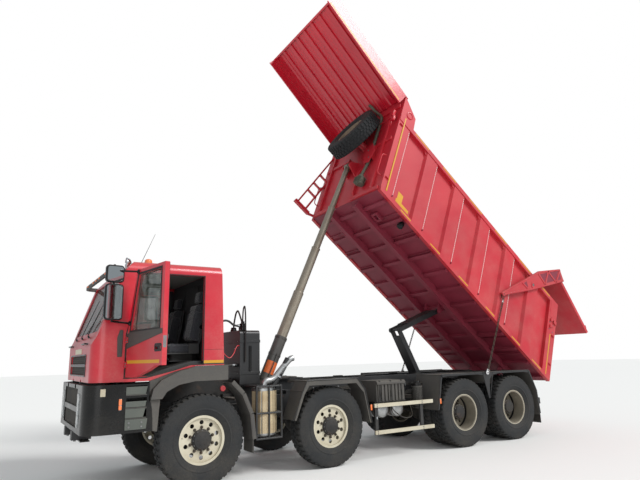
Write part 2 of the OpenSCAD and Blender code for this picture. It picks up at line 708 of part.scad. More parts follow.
module cab_shell() {
    color(red) difference() {
        intersection() {
            cab_hollow();
            union() {
                span([-cab_rear_x - 50, front_cut - 0.3], [-cab_w / 2, cab_w / 2], [skirt_z, roof_cut]);
                span([front_cut - 1, cab_front_x], [-cab_w / 2, cab_w / 2], [belt_z - 20, roof_cut]);
            }
        }
        cab_floor_room();
        both_sides() door_cut([cab_w / 2 - cab_t - 30, cab_w / 2 + 10]);
        windscreen_hole(0);
    }
    color(black) both_sides() intersection() {
        door_hinge_lugs();
        span([0, front_cut - 0.3], [0, cab_w], [0, roof_z]);
    }
}
// The shell stops where the floor begins
module cab_floor_room() {
    side_on([-cab_w / 2, cab_w / 2]) polygon([
        [-cab_rear_x - 60, arch_z - 100], [-cab_rear_x - 60, arch_z + floor_top + 0.3], [150, arch_z + floor_top + 0.3],
        [450, arch_z - 9.7], [790, skirt_z + 50.3], [front_cut, skirt_z + 50.3], [front_cut, skirt_z - 100],
        [700, skirt_z - 100]]);
}
module windscreen_hole(inset) {
    i = inset;
    end_on([1000, 1700]) translate([0, (belt_z + 60 + roof_cut - 70) / 2])
        soft_rect(2 * (cab_w / 2 - 150 - i), roof_cut - 130 - belt_z - 2 * i, 60);
}
module windscreen() {
    color(glass, 0.5) intersection() {
        difference() {
            cab_solid(14);
            cab_solid(24);
        }
        windscreen_hole(0.3);
        span([1000, 1700], [-cab_w, cab_w], [belt_z, roof_cut]);
    }
}
module cab_roof() {
    color(red) intersection() {
        difference() {
            cab_solid(0);
            cab_solid(cab_t);
        }
        span([-cab_rear_x - 50, cab_front_x], [-cab_w / 2, cab_w / 2], [roof_cut + 0.3, roof_z]);
    }
}
module cab_front() {
    color(red) difference() {
        intersection() {
            cab_hollow();
            span([front_cut, cab_front_x], [-cab_w / 2, cab_w / 2], [skirt_z, belt_z - 20.3]);
        }
        // Grille openings
        for (z = [[1530, 1640], [1680, 1790]]) span([1380, 1600], [-700, 700], z);
        // Notches around the pivots
        both_sides() span([cab_pivot_x - 45, cab_front_x + 1], [325, 415], [skirt_z - 1, cab_pivot_z + 45]);
    }
}
module cab_trim() {
    color(plastic) both_sides() {
        // Arch trim over the first wheel, down to the seam above the steps
        side_on([cab_w / 2 + 0.3, cab_w / 2 + 90]) polygon([
            [-cab_rear_x - 30, 1410], [-cab_rear_x - 30, arch_z - 5], [120, arch_z - 5], [380, arch_z - 70],
            [620, skirt_z], [720, 1330], [750, 1200], [600, 1200], [540, 1290], [380, 1370], [150, 1410]]);
        // Ledge that ties the trim to the cab's underside
        side_on([cab_w / 2 - 60, cab_w / 2 + 1]) polygon([[-cab_rear_x, arch_z - 40], [-cab_rear_x, arch_z - 10.3],
            [60, arch_z - 10.3], [60, arch_z - 40]]);
    }
    color(black) {
        // Sun visor above the windscreen
        difference() {
            translate([0, 0, roof_cut - 70]) linear_extrude(60) nose_plan(1330, cab_w / 2 - 20, 200);
            translate([0, 0, roof_cut - 71]) linear_extrude(62) nose_plan(1300, cab_w / 2 - 60, 170);
            span([-500, 1050], [-cab_w, cab_w], [roof_cut - 80, roof_cut + 10]);
            cab_solid(-0.3);
        }
        // Grille behind the openings in the nose
        for (z = [1550, 1595, 1700, 1745]) span([cab_front_x - 56, cab_front_x - 26], [-699.7, 699.7], [z, z + 18]);
    }
}
module seats() {
    color("#3B3D42") for (y = [560, -560]) translate([-60, y, 0]) {
        // Pedestal, cushion and backrest
        span([60, 440], [-180, 180], [arch_z + floor_top, arch_z + floor_top + 110]);
        span([20, 520], [-240, 240], [arch_z + floor_top + 110, arch_z + floor_top + 250]);
        side_on([-230, 230]) polygon([[20, 1930], [150, 1930], [30, 2560], [-90, 2560]]);
        side_on([-140, 140]) polygon([[30, 2560], [-90, 2560], [-110, 2740], [0, 2740]]);
    }
}
module dashboard() {
    color("#3A3B3D") {
        intersection() {
            cab_solid(cab_t + 3);
            side_on([-cab_w / 2 + cab_t + 10, cab_w / 2 - cab_t - 10]) polygon([
                [1150, 1640], [980, 1860], [990, 2010], [1180, 2030], [cab_front_x - cab_t - 70, 1960],
                [cab_front_x - cab_t - 3, 1900], [cab_front_x - cab_t - 3, 1640]]);
        }
        // Engine tunnel between the seats
        side_on([-230, 230]) polygon([[-200, arch_z + floor_top], [-200, 1800], [420, 1800], [760, 1640],
            [1200, 1640], [1200, skirt_z + cab_t + 0.3], [800, skirt_z + cab_t + 0.3], [450, arch_z + 60]]);
        // Steering column and wheel
        translate([1030, 560, 1790]) rotate([0, -60, 0]) cylinder(r = 32, h = 340);
        translate([735, 560, 1962]) rotate([0, -60, 0]) {
            rotate_extrude($fn = 48) translate([220, 0]) circle(14, $fn = 16);
            for (a = [0, 120, 240]) rotate([0, 0, a]) translate([0, -14, -8]) cube([215, 28, 16]);
        }
    }
}

// Doors and mirrors, drawn closed on the left
door_y = cab_w / 2;
hinge_heights = [1620, 1940];
hinge_h = 70;
module door_panel() {
    color(red) difference() {
        side_on([door_y - cab_t, door_y]) door_outline(door_gap);
        side_on([door_y - cab_t - 1, door_y + 1]) window_outline(0);
        // Pocket behind the handle
        span([door_rear_x + 60, door_rear_x + 220], [door_y - 18, door_y + 1], [1830, 1880]);
    }
    // Hinges: barrels on the door's front edge
    color(black) for (z = hinge_heights) difference() {
        union() {
            translate([door_hinge_x, door_y + 10, z]) cylinder(r = 8, h = hinge_h);
            span([door_hinge_x - 60, door_hinge_x - 18], [door_y, door_y + 16], [z, z + hinge_h]);
            span([door_hinge_x - 60, door_hinge_x - 4], [door_y + 5, door_y + 16], [z, z + hinge_h]);
        }
        translate([door_hinge_x, door_y + 10, z - 1]) cylinder(r = 4 + fit, h = hinge_h + 2);
    }
}
// The cab's half of a door hinge: two lugs and the pin between them
module door_hinge_lugs() {
    for (z = hinge_heights) {
        for (low = [z - 11, z + hinge_h + 1]) span([door_hinge_x - 5, door_hinge_x + 40], [door_y - 1, door_y + 16],
            [low, low + 10]);
        translate([door_hinge_x, door_y + 10, z - 5]) cylinder(r = 4, h = hinge_h + 10);
    }
}
module door_pane() {
    color(glass, 0.5) side_on([door_y - cab_t / 2 - 3, door_y - cab_t / 2 + 3]) window_outline(0.3);
}
mirror_x = 1000;
mirror_y = 1400;
mirror_w = 240;
module door_mirrors() {
    color(black) {
        // Main glass and the wide-angle glass above it, in one tall pair of housings
        for (m = [[2225, 470], [2715, 230]]) translate([mirror_x, mirror_y, m[0]])
            linear_extrude(m[1]) soft_rect(110, mirror_w, 40);
        translate([mirror_x, mirror_y, 2200]) cylinder(r = 14, h = 760);
        // Arms to the door's frame
        for (m = [[2205, 1010], [2870, 800]]) hull() {
            translate([mirror_x, mirror_y, m[0]]) cylinder(r = 14, h = 14, $fn = 16);
            translate([m[1], door_y + 14, m[0] - 20]) cylinder(r = 14, h = 14, $fn = 16);
        }
    }
}
// Swings the left door and what it carries about its hinge
module swing_left() {
    translate([door_hinge_x, door_y + 10, 0]) rotate([0, 0, -door_open])
        translate([-door_hinge_x, -door_y - 10, 0]) children();
}

// Bed: drawn level with its hinge pin at the origin, then raised
bed_rear = -bed_tail;
bed_front_end = bed_len - bed_tail;
floor_z = floor_rise;
slope = tan(lean);
beam_y = 430;
beam_w = 120;
rib_pitch = 920;
rib_w = 330;
rib_count = 6;
half_w = bed_w / 2;
inner_y = half_w - side_d;
// Shifts a place on the leaning side: height above the floor gives the forward shift
function leaned(x, h) = [x + h * slope, floor_z + h];
module on_bed() {
    translate([-hinge_back, 0, hinge_z]) rotate([0, -bed_tilt, 0]) children();
}
module bed_floor() {
    on_bed() color(red) {
        span([bed_rear, bed_front_end], [-inner_y + 0.3, inner_y - 0.3], [floor_z, floor_z + bed_plate]);
        both_sides() {
            // Long beams and the hinge ears at their rear end
            span([-280, bed_front_end - 60], [beam_y - beam_w / 2, beam_y + beam_w / 2], [floor_z - beam_h, floor_z]);
            side_on([rail_y - 100 + hinge_lug_t + clear, rail_y + 34]) bed_ear();
        }
        // Cross ribs
        for (i = [0:11]) span([bed_rear + 120 + i * 480, bed_rear + 200 + i * 480], [-inner_y + 10, inner_y - 10],
            [floor_z - 60, floor_z]);
        // Stabilizer bracket: two ears that leave room for the arm's end
        both_sides() {
            side_on([stab_w / 2 + 36, stab_w / 2 + 56]) {
                polygon([[stab_px - 120, floor_z], [stab_px + 120, floor_z], [stab_px + 50, stab_pz],
                    [stab_px - 50, stab_pz]]);
                translate([stab_px, stab_pz]) circle(50);
            }
            shaft(stab_px, stab_pz, 24, [stab_w / 2 + 6, stab_w / 2 + 40]);
        }
    }
}
stab_px = 2050;
stab_pz = 110;
module bed_ear() {
    difference() {
        polygon([[-300, floor_z - 60], [130, floor_z - 60], [100, 150], [50, -60], [-60, -60]]);
        circle(hinge_pin_r + fit);
    }
}
rail_section = 90;
module bed_side() {
    // Plate with its bottom rail, top rail, ribs and end posts
    rear_top = leaned(bed_rear, side_h);
    front_top = leaned(bed_front_end, side_h);
    foot = [leaned(bed_rear, 0), [bed_rear, floor_z - 20], [bed_front_end, floor_z - 20], leaned(bed_front_end, 0)];
    side_on([inner_y, inner_y + bed_plate]) polygon(concat(foot, [front_top, rear_top]));
    side_on([inner_y, half_w]) {
        // The rails end inside the posts, short of the edge
        polygon([[bed_rear + 100, floor_z - 20], [bed_front_end - 8, floor_z - 20],
            leaned(bed_front_end - 8, 60), leaned(bed_rear + 100, 60)]);
        polygon([leaned(bed_rear + 100, side_h - rail_section), leaned(bed_front_end - 8, side_h - rail_section),
            leaned(bed_front_end - 8, side_h), leaned(bed_rear + 100, side_h)]);
        // Ear that rises to the canopy at the front
        polygon([leaned(bed_front_end - 400, side_h), leaned(bed_front_end, side_h),
            leaned(bed_front_end, side_h + ear_rise), leaned(bed_front_end - 380, side_h + 240)]);
    }
    side_on([inner_y, half_w - 12]) for (i = [0:rib_count - 1]) {
        x = bed_front_end - i * rib_pitch;
        polygon([leaned(x - rib_w, 0), leaned(x, 0), leaned(x, side_h), leaned(x - rib_w, side_h)]);
    }
    side_on([inner_y, half_w]) polygon([leaned(bed_rear, 0), [bed_rear, floor_z - 20],
        [bed_rear + 300, floor_z - 20], leaned(bed_rear + 300, 0), leaned(bed_rear + 300, side_h), rear_top]);
    // Pivot of the tailgate arm
    shaft(gate_px, gate_pz, 30, [half_w - 12, half_w + 50]);
}
gate_px = 986;
gate_pz = 1680;
// Chain eye on the closed gate arm
chain_ex = 2056;
chain_ez = 1590;
module bed_sides() {
    on_bed() color(red) both_sides() bed_side();
}
wall_t = 60;
// Pin of the hoist's rod eye in the bed's own frame: its place up the front wall and out from it
eye_up = 880;
eye_out = 157;
eye_x = bed_front_end + eye_up * sin(lean) + eye_out * cos(lean);
eye_z = floor_z + eye_up * cos(lean) - eye_out * sin(lean);
module bed_front() {
    on_bed() {
        color(red) {
            side_on([-inner_y + 0.3, inner_y - 0.3]) polygon([leaned(bed_front_end - wall_t, bed_plate + 0.3),
                leaned(bed_front_end, bed_plate + 0.3), leaned(bed_front_end, side_h + ear_rise),
                leaned(bed_front_end - wall_t, side_h + ear_rise)]);
            // Hoist ears, wide apart so that the rod eye may drift between them
            both_sides() {
                side_on([110, 140]) polygon([leaned(bed_front_end, 640), leaned(bed_front_end, 950),
                    [eye_x + 50, eye_z + 40], [eye_x + 50, eye_z - 50]]);
                side_on([80, 111]) translate([eye_x, eye_z]) circle(28);
            }
            // Carrier of the spare wheel
            spare_carrier();
            ladder();
        }
    }
}
// Ladder that hangs upright before the leaning wall's right edge, its rungs along the truck
module ladder() {
    low = floor_z - 75;
    outer = -inner_y + 5;
    // Each rail: its place ahead of the floor's front edge, and its depth
    for (r = [[520, 30], [280, 60]]) span([bed_front_end + r[0], bed_front_end + r[0] + 32],
        [outer, outer + r[1]], [low + 20, floor_z + (r[0] + 32) / slope + 30]);
    for (h = [385, 633, 910]) span([bed_front_end + 300, bed_front_end + 540],
        [outer, outer + 60], [floor_z + h, floor_z + h + 26]);
    // Foot tread, and the bar that ties it to the wall's foot
    span([bed_front_end + 182, bed_front_end + 610], [outer, outer + 80], [low, low + 70]);
    side_on([outer, outer + 30]) polygon([[bed_front_end + 190, low + 5], [bed_front_end + 190, low + 65],
        leaned(bed_front_end - 20, 75), leaned(bed_front_end - 20, 30)]);
}
// Spare wheel: beside the middle, and as high as the lowered bed holds it clear of the oil tank
spare_y = 200;
spare_up = tank_top + 10 + wheel_r - hinge_z - floor_z;
spare_x = bed_front_end + (spare_up + wheel_r) * slope + tread_w / 2 + 39;
// Moves to the spare wheel's middle; the wheel stands upright when the bed is down
module at_spare() {
    translate([spare_x, spare_y, floor_z + spare_up]) children();
}
module spare_carrier() {
    root = bed_front_end + spare_up * slope - wall_t / 2 - spare_x;
    at_spare() {
        translate([root, 0, 0]) rotate([0, 90, 0]) cylinder(r = 80, h = 14 - root);
        // Clamp plate that holds the wheel's disc
        translate([0.3, 0, 0]) rotate([0, 90, 0]) cylinder(r = 150, h = 14);
    }
}
module spare_wheel() {
    on_bed() at_spare() rotate([0, 0, -90]) translate([0, 0, -hub_z]) {
        tyre(0);
        color(cream) {
            rim_barrel(0);
            difference() {
                rim_disc(0);
                shaft(0, hub_z, 112, [-60, 60]);
            }
        }
    }
}
canopy_t = 40;
ear_rise = 440;
// The canopy lies on the wall's top, hinged up from the wall's rear edge by its slope
module canopy() {
    root = leaned(bed_front_end - wall_t, side_h + ear_rise);
    start = wall_t + 12;
    on_bed() color(red) translate([root[0], 0, root[1] + 0.3]) rotate([0, -canopy_rise, 0]) {
        span([0, canopy_len], [-half_w, half_w], [0, 10]);
        // Folds along the canopy and its side flanges
        for (y = [-900:300:900]) span([start, canopy_len], [y - 40, y + 40], [-canopy_t + 10, 1]);
        both_sides() span([start, canopy_len], [half_w - 30, half_w], [-canopy_t - 50, 1]);
        span([canopy_len - 40, canopy_len], [-half_w, half_w], [-canopy_t - 20, 1]);
    }
}

// Tailgate, chains
gate_t = 70;
gate_arm_y = half_w + 6;
gate_arm_t = 40;
module tailgate_closed() {
    // Panel behind the rear posts
    side_on([-half_w, half_w]) polygon([leaned(bed_rear - clear, -60), leaned(bed_rear - clear, 1560),
        leaned(bed_rear - clear - 12, 1560), leaned(bed_rear - clear - 12, -60)]);
    for (h = [-50, 480, 1000, 1500]) side_on([-half_w, half_w]) polygon([
        leaned(bed_rear - clear, h), leaned(bed_rear - clear, h + 60),
        leaned(bed_rear - clear - gate_t, h + 60), leaned(bed_rear - clear - gate_t, h)]);
    for (y = [-half_w, -450, 350, half_w - 100]) side_on([y, y + 100]) polygon([
        leaned(bed_rear - clear, -50), leaned(bed_rear - clear, 1560),
        leaned(bed_rear - clear - gate_t, 1560), leaned(bed_rear - clear - gate_t, -50)]);
    // Arms forward past the side posts to the pivots and on to the chain eyes
    both_sides() {
        side_on([gate_arm_y, gate_arm_y + gate_arm_t]) difference() {
            polygon([[-160, 1530], [750, 1570], [gate_px + 160, 1590], [2020, 1670], [2080, 1740],
                [gate_px - 340, 1930], [-130, 1830]]);
            translate([gate_px, gate_pz]) circle(30 + fit);
        }
        side_on([half_w - 100, gate_arm_y + gate_arm_t]) polygon([[-160, 1530], [-130, 1830],
            leaned(bed_rear - clear, 1560), leaned(bed_rear - clear, 1260)]);
    }
}
module tailgate() {
    on_bed() color(red) turn_up(gate_px, gate_pz, -gate_open) tailgate_closed();
}
chain_lean = 25.3;
chain_r = 14;
module chains() {
    color(steel) both_sides() translate([-anchor_back, anchor_y, anchor_z]) rotate([0, -chain_lean, 0]) {
        difference() {
            rotate([90, 0, 0]) cylinder(r = 32, h = 24, center = true);
            rotate([90, 0, 0]) cylinder(r = 14 + fit, h = 30, center = true);
        }
        translate([0, 0, 28]) cylinder(r = chain_r, h = chain_len - 60, $fn = 24);
    }
}

// Hoist
eye_line = swung([eye_x, eye_z], [0, 0], bed_tilt) + [-hinge_back, hinge_z] - [-hoist_back, hoist_z];
eye_low = [eye_x - hinge_back + hoist_back, eye_z + hinge_z - hoist_z];
hoist_lean = atan2(-eye_line[0], eye_line[1]);
hoist_open = norm(eye_line);
hoist_closed = norm(eye_low);
stage_stroke = (hoist_open - hoist_closed) / stages;
// The barrel reaches this far below its trunnion
hoist_low = 200;
barrel_len = hoist_closed - 90 + hoist_low;
stage_d = [190, 164, 138, 112];
stage_len = barrel_len - 130;
stage_floor = 7;
stage_step = stage_floor + clear + 1;
eye_r = 60;
module on_hoist() {
    translate([-hoist_back, 0, hoist_z]) rotate([0, -hoist_lean, 0]) children();
}
module hoist_barrel() {
    on_hoist() color(steel) {
        translate([0, 0, -hoist_low]) difference() {
            cylinder(d = barrel_d, h = barrel_len);
            translate([0, 0, 60]) cylinder(d = stage_d[0] + 4, h = barrel_len);
        }
        both_sides() shaft(0, 0, trunnion_r, [barrel_d / 2 - 6, hoist_gap / 2 + 30]);
    }
}
// Stage n, with its foot raised by its own stroke over the stage before
module hoist_stage(n) {
    foot = -hoist_low + 70 + n * stage_step + n * stage_stroke;
    on_hoist() color(steel) translate([0, 0, foot]) {
        if (n < stages) difference() {
            cylinder(d = stage_d[n - 1], h = stage_len);
            translate([0, 0, stage_floor]) cylinder(d = stage_d[n] + 4, h = stage_len);
        }
        else {
            cylinder(d = stage_d[n - 1], h = hoist_open - foot - eye_r + 15);
            translate([0, 0, hoist_open - foot]) rotate([90, 0, 0]) difference() {
                cylinder(r = eye_r, h = 130, center = true);
                cylinder(r = 32, h = 140, center = true);
            }
        }
    }
}

// Stabilizer
stab_t = 24;
// The two arms and the line between their outer pins form a triangle with two equal sides
stab_far = swung([stab_px, stab_pz], [0, 0], bed_tilt) + [-hinge_back, hinge_z];
stab_span = stab_far - [-stab_back, stab_z];
stab_half = acos(norm(stab_span) / 2 / arm_len);
stab_low_angle = atan2(stab_span[1], stab_span[0]) - stab_half;
stab_up_angle = atan2(stab_span[1], stab_span[0]) + stab_half;
elbow_x = -stab_back + arm_len * cos(stab_low_angle);
elbow_z = stab_z + arm_len * sin(stab_low_angle);
stab_inner = stab_w / 2 - stab_t - 2 * clear;
module stabilizer_lower() {
    color(black) difference() {
        translate([-stab_back, 0, stab_z]) rotate([0, -stab_low_angle, 0]) {
            both_sides() side_on([stab_inner - stab_t, stab_inner]) {
                translate([0, -50]) square([arm_len, 100]);
                circle(50);
                translate([arm_len, 0]) circle(50);
            }
            // Web between the side plates, on the front
            span([90, arm_len - 110], [-stab_inner + 1, stab_inner - 1], [-50, -34]);
            // Elbow pin
            shaft(arm_len, 0, stab_pin_r, [-stab_w / 2 - 10, stab_w / 2 + 10]);
        }
        shaft(-stab_back, stab_z, stab_pin_r + fit, [-stab_w, stab_w]);
    }
}
module stabilizer_upper() {
    color(black) translate([elbow_x, 0, elbow_z]) rotate([0, -stab_up_angle, 0]) difference() {
        union() {
            both_sides() side_on([stab_w / 2 - stab_t, stab_w / 2]) {
                translate([0, -45]) square([arm_len, 90]);
                circle(50);
                translate([arm_len, 0]) circle(50);
            }
            // Web across the top, clear of the lower arm when folded
            span([230, arm_len - 80], [-stab_w / 2 + 1, stab_w / 2 - 1], [-60, -44]);
        }
        shaft(0, 0, stab_pin_r + fit, [-stab_w, stab_w]);
    }
}

// The origin of the finished part lies under the middle of its overall box
gate_tip = swung(swung(leaned(bed_rear - clear - gate_t, -60), [gate_px, gate_pz], -gate_open), [0, 0], bed_tilt);
door_reach = door_hinge_x - door_rear_x - door_gap;
left_reach = door_y + 10 + door_reach * sin(door_open) - 10 * cos(door_open);
shift_x = -(bumper_front_x + 12 - hinge_back + gate_tip[0]) / 2;
shift_y = -(left_reach - mirror_y - mirror_w / 2) / 2;
module place() {
    translate([shift_x, shift_y, 0]) children();
}
place() frame();
place() bumper();
place() lamps();
place() axles();
place() engine();
place() exhaust();
place() battery_box();
place() fuel_tank();
place() side_guards();
place() mudguards();
place() oil_tank();
place() hose_a();
place() knuckle(1, "l");  // knuckle_l1
place() knuckle(1, "r");  // knuckle_r1
place() knuckle(2, "l");  // knuckle_l2
place() knuckle(2, "r");  // knuckle_r2
place() wheel_tyre(1, "l");  // tyre_l1
place() wheel_tyre(1, "r");  // tyre_r1
place() wheel_tyre(2, "l");  // tyre_l2
place() wheel_tyre(2, "r");  // tyre_r2
place() wheel_tyre(3, "l");  // tyre_l3
place() wheel_tyre(3, "r");  // tyre_r3
place() wheel_tyre(4, "l");  // tyre_l4
place() wheel_tyre(4, "r");  // tyre_r4
place() wheel_rim(1, "l");  // rim_l1
place() wheel_rim(1, "r");  // rim_r1
place() wheel_rim(2, "l");  // rim_l2
place() wheel_rim(2, "r");  // rim_r2
place() wheel_rim(3, "l");  // rim_l3
place() wheel_rim(3, "r");  // rim_r3
place() wheel_rim(4, "l");  // rim_l4
place() wheel_rim(4, "r");  // rim_r4
place() cab_floor();
place() cab_shell();
place() cab_roof();
place() cab_front();
place() windscreen();
place() cab_trim();
place() seats();
place() dashboard();
place() swing_left() door_panel();  // door_l
place() mirror([0, 1, 0]) door_panel();  // door_r
place() swing_left() door_pane();  // door_glass_l
place() mirror([0, 1, 0]) door_pane();  // door_glass_r
place() swing_left() door_mirrors();  // mirrors_l
place() mirror([0, 1, 0]) door_mirrors();  // mirrors_r
place() bed_floor();
place() bed_sides();
place() bed_front();
place() canopy();
place() spare_wheel();
place() tailgate();
place() chains();
place() hoist_barrel();
place() hoist_stage(1);  // hoist_stage_1
place() hoist_stage(2);  // hoist_stage_2
place() hoist_stage(3);  // hoist_stage_3
place() hoist_stage(4);  // hoist_stage_4
place() stabilizer_lower();
place() stabilizer_upper();
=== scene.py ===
import math
import random

import bmesh
import bpy
from mathutils import Matrix, Vector


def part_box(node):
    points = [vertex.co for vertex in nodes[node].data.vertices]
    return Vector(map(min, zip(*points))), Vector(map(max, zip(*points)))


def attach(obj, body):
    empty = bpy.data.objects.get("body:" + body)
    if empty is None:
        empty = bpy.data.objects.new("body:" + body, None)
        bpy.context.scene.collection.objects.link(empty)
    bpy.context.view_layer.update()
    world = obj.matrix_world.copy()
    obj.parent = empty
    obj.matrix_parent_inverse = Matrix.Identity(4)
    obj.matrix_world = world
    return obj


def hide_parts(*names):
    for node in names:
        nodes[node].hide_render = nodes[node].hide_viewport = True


# Mining tipper with its bed raised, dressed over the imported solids.
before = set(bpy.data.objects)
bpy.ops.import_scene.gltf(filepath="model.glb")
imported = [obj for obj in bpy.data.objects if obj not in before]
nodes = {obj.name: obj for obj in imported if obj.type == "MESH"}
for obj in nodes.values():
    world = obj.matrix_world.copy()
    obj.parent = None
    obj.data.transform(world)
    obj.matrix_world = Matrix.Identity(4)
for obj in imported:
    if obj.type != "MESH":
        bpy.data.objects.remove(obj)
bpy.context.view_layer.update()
print("frame loaded:", len(nodes), "nodes")

# Places are written in millimetres from the middle of the first axle, as on the truck's own drawing.
low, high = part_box("tyre_l1")
shift = Vector(((low.x + high.x) / 2, (low.y + high.y) / 2 - 1.020, 0))
truck = Matrix.Translation(shift) @ Matrix.Scale(0.001, 4)
still = Matrix.Identity(4)


def move(x, y, z):
    return Matrix.Translation((x, y, z))


def turn(degrees, axis):
    return Matrix.Rotation(math.radians(degrees), 4, axis)


angles = {"bed": 40, "wall": 19, "gate": 54.4, "door": 80, "hoist": 24.647}
bed = truck @ move(-7100, 0, 1200) @ turn(-angles["bed"], "Y")
gate = bed @ move(986, 0, 1680) @ turn(angles["gate"], "Y") @ move(-986, 0, -1680)
wall = bed @ move(5180, 0, 270) @ turn(angles["wall"], "Y")  # x out of the front wall, z up along it
spare = bed @ move(6007.2, 200, 1573)
hoist = truck @ move(-1380, 0, 1050) @ turn(-angles["hoist"], "Y")
doorLeft = truck @ move(1090, 1160, 0) @ turn(-angles["door"], "Z") @ move(-1090, -1160, 0)
mirrored = Matrix.Scale(-1, 4, (0, 1, 0))
doorRight = truck @ mirrored


# Camera: the photograph's own place, solved from the wheels and the bed's edges
cameraPlace = {
    "position": (2631.5, 8508.0, 1684.9), "yaw": -122.2, "pitch": 12.68, "roll": -1.52, "focalPx": 522.09}


def setCamera():
    yaw, pitch, roll = (math.radians(cameraPlace[k]) for k in ("yaw", "pitch", "roll"))
    data = bpy.data.cameras.new("photoCamera")
    data.lens = cameraPlace["focalPx"] * 36 / 640
    data.clip_end = 300
    camera = bpy.data.objects.new("photoCamera", data)
    look = Vector((math.cos(pitch) * math.cos(yaw), math.cos(pitch) * math.sin(yaw), math.sin(pitch)))
    aim = look.to_track_quat("-Z", "Y").to_matrix().to_4x4()
    place = Matrix.Translation(truck @ Vector(cameraPlace["position"]))
    camera.matrix_world = place @ aim @ Matrix.Rotation(roll, 4, "Z")
    bpy.context.scene.collection.objects.link(camera)
    bpy.context.scene.camera = camera


setCamera()

# Colour and node helpers


def linear(text, alpha=1.0):
    channels = [int(text[i:i + 2], 16) / 255 for i in (1, 3, 5)]
    return [c / 12.92 if c <= 0.04045 else ((c + 0.055) / 1.055) ** 2.4 for c in channels] + [alpha]


def addNode(tree, kind, links=None, **settings):
    # A setting named like a socket fills that socket; any other is a property of the node.
    # A link comes from a socket, or from a node's first output
    node = tree.nodes.new(kind)
    for name, value in settings.items():
        if hasattr(node, name):
            setattr(node, name, value)
    for name, value in settings.items():
        if not hasattr(node, name):
            key = int(name[1:]) if name[1:].isdigit() else name.replace("_", " ")
            node.inputs[key].default_value = value
    for name, source in (links or {}).items():
        socket = node.inputs[name]
        tree.links.new(source if isinstance(source, bpy.types.NodeSocket) else source.outputs[0], socket)
    return node


def startMaterial(name):
    material = bpy.data.materials.new(name)
    material.use_nodes = True
    material.node_tree.nodes.clear()
    return material, material.node_tree


def patternPlace(tree, sizeMm, stretch=(1, 1, 1)):
    # Object coordinates in units of sizeMm, drawn out along the stretched axes
    coords = addNode(tree, "ShaderNodeTexCoord")
    k = 1000 / sizeMm
    return addNode(tree, "ShaderNodeMapping", {"Vector": coords.outputs["Object"]},
        Scale=(k / stretch[0], k / stretch[1], k / stretch[2])).outputs[0]


def noise(tree, sizeMm, detail=3.0, roughness=0.55, stretch=(1, 1, 1)):
    return addNode(tree, "ShaderNodeTexNoise", {"Vector": patternPlace(tree, sizeMm, stretch)},
        Scale=1.0, Detail=detail, Roughness=roughness).outputs["Fac"]


def remap(tree, value, low, high, toLow=0.0, toHigh=1.0):
    return addNode(tree, "ShaderNodeMapRange", {"Value": value}, **{
        "From_Min": low, "From_Max": high, "To_Min": toLow, "To_Max": toHigh}).outputs[0]


def math2(tree, operation, a, b):
    node = addNode(tree, "ShaderNodeMath", operation=operation, use_clamp=operation == "MULTIPLY")
    for socket, value in zip(node.inputs, (a, b)):
        if isinstance(value, (int, float)):
            socket.default_value = value
        else:
            tree.links.new(value, socket)
    return node.outputs[0]


def blendColour(tree, factor, a, b):
    node = addNode(tree, "ShaderNodeMix", data_type="RGBA")
    for index, value in ((0, factor), (6, a), (7, b)):
        if isinstance(value, (int, float, list)):
            node.inputs[index].default_value = value
        else:
            tree.links.new(value, node.inputs[index])
    return node.outputs[2]


def dustMask(tree, amount, height):
    # Settled dust: thick on what faces up and low down, in soft clouds, with finer specks in it
    normal = addNode(tree, "ShaderNodeNewGeometry")
    up = addNode(tree, "ShaderNodeSeparateXYZ", {"Vector": normal.outputs["Normal"]}).outputs["Z"]
    place = addNode(tree, "ShaderNodeTexCoord").outputs["Object"]
    z = addNode(tree, "ShaderNodeSeparateXYZ", {"Vector": place}).outputs["Z"]
    low = remap(tree, z, 0.1, height, 1.0, 0.0)
    shelf = remap(tree, up, 0.35, 1.0, 0.0, 0.75)
    clouds = remap(tree, noise(tree, 420, 5.0), 0.36, 0.68)
    specks = remap(tree, noise(tree, 24, 3.0), 0.42, 0.62, 0.55, 1.0)
    base = math2(tree, "ADD", math2(tree, "MULTIPLY", low, clouds), shelf)
    return math2(tree, "MULTIPLY", math2(tree, "MULTIPLY", base, specks), amount)


def finishMaterial(tree, colour, roughness, height, bump=0.3, **settings):
    shader = addNode(tree, "ShaderNodeBsdfPrincipled", **settings)
    for name, value in (("Base Color", colour), ("Roughness", roughness)):
        if isinstance(value, (int, float, list)):
            shader.inputs[name].default_value = value
        else:
            tree.links.new(value, shader.inputs[name])
    if height is not None:
        relief = addNode(tree, "ShaderNodeBump", {"Height": height}, Strength=bump, Distance=0.001)
        tree.links.new(relief.outputs[0], shader.inputs["Normal"])
    out = addNode(tree, "ShaderNodeOutputMaterial")
    tree.links.new(shader.outputs[0], out.inputs[0])
    return shader


finishes = {}


def paint(name, colour, faded, under, fadeMm=200, peelMm=5, bump=0.2, roughness=0.6, coat=0.0,
        scratches=0.2, dust=0.5, dustHeight=1.6, dustColour="#B09483"):
    # Sprayed paint: a slightly faded colour, orange peel in the gloss, rubbed scratches and dust over it
    finishes[name], tree = startMaterial(name)
    fade = remap(tree, noise(tree, fadeMm, 4.0), 0.3, 0.7)
    tone = blendColour(tree, fade, linear(colour), linear(faded))
    rubbed = remap(tree, noise(tree, 9, 2.0, 0.5, (1, 1, 26)), 0.70, 0.74)
    tone = blendColour(tree, math2(tree, "MULTIPLY", rubbed, scratches), tone, linear(under))
    settled = dustMask(tree, dust, dustHeight)
    tone = blendColour(tree, settled, tone, linear(dustColour))
    rough = remap(tree, settled, 0.0, 0.6, roughness, 0.85)
    finishMaterial(tree, tone, rough, noise(tree, peelMm, 2.0), bump, Coat_Weight=coat, Coat_Roughness=0.12)


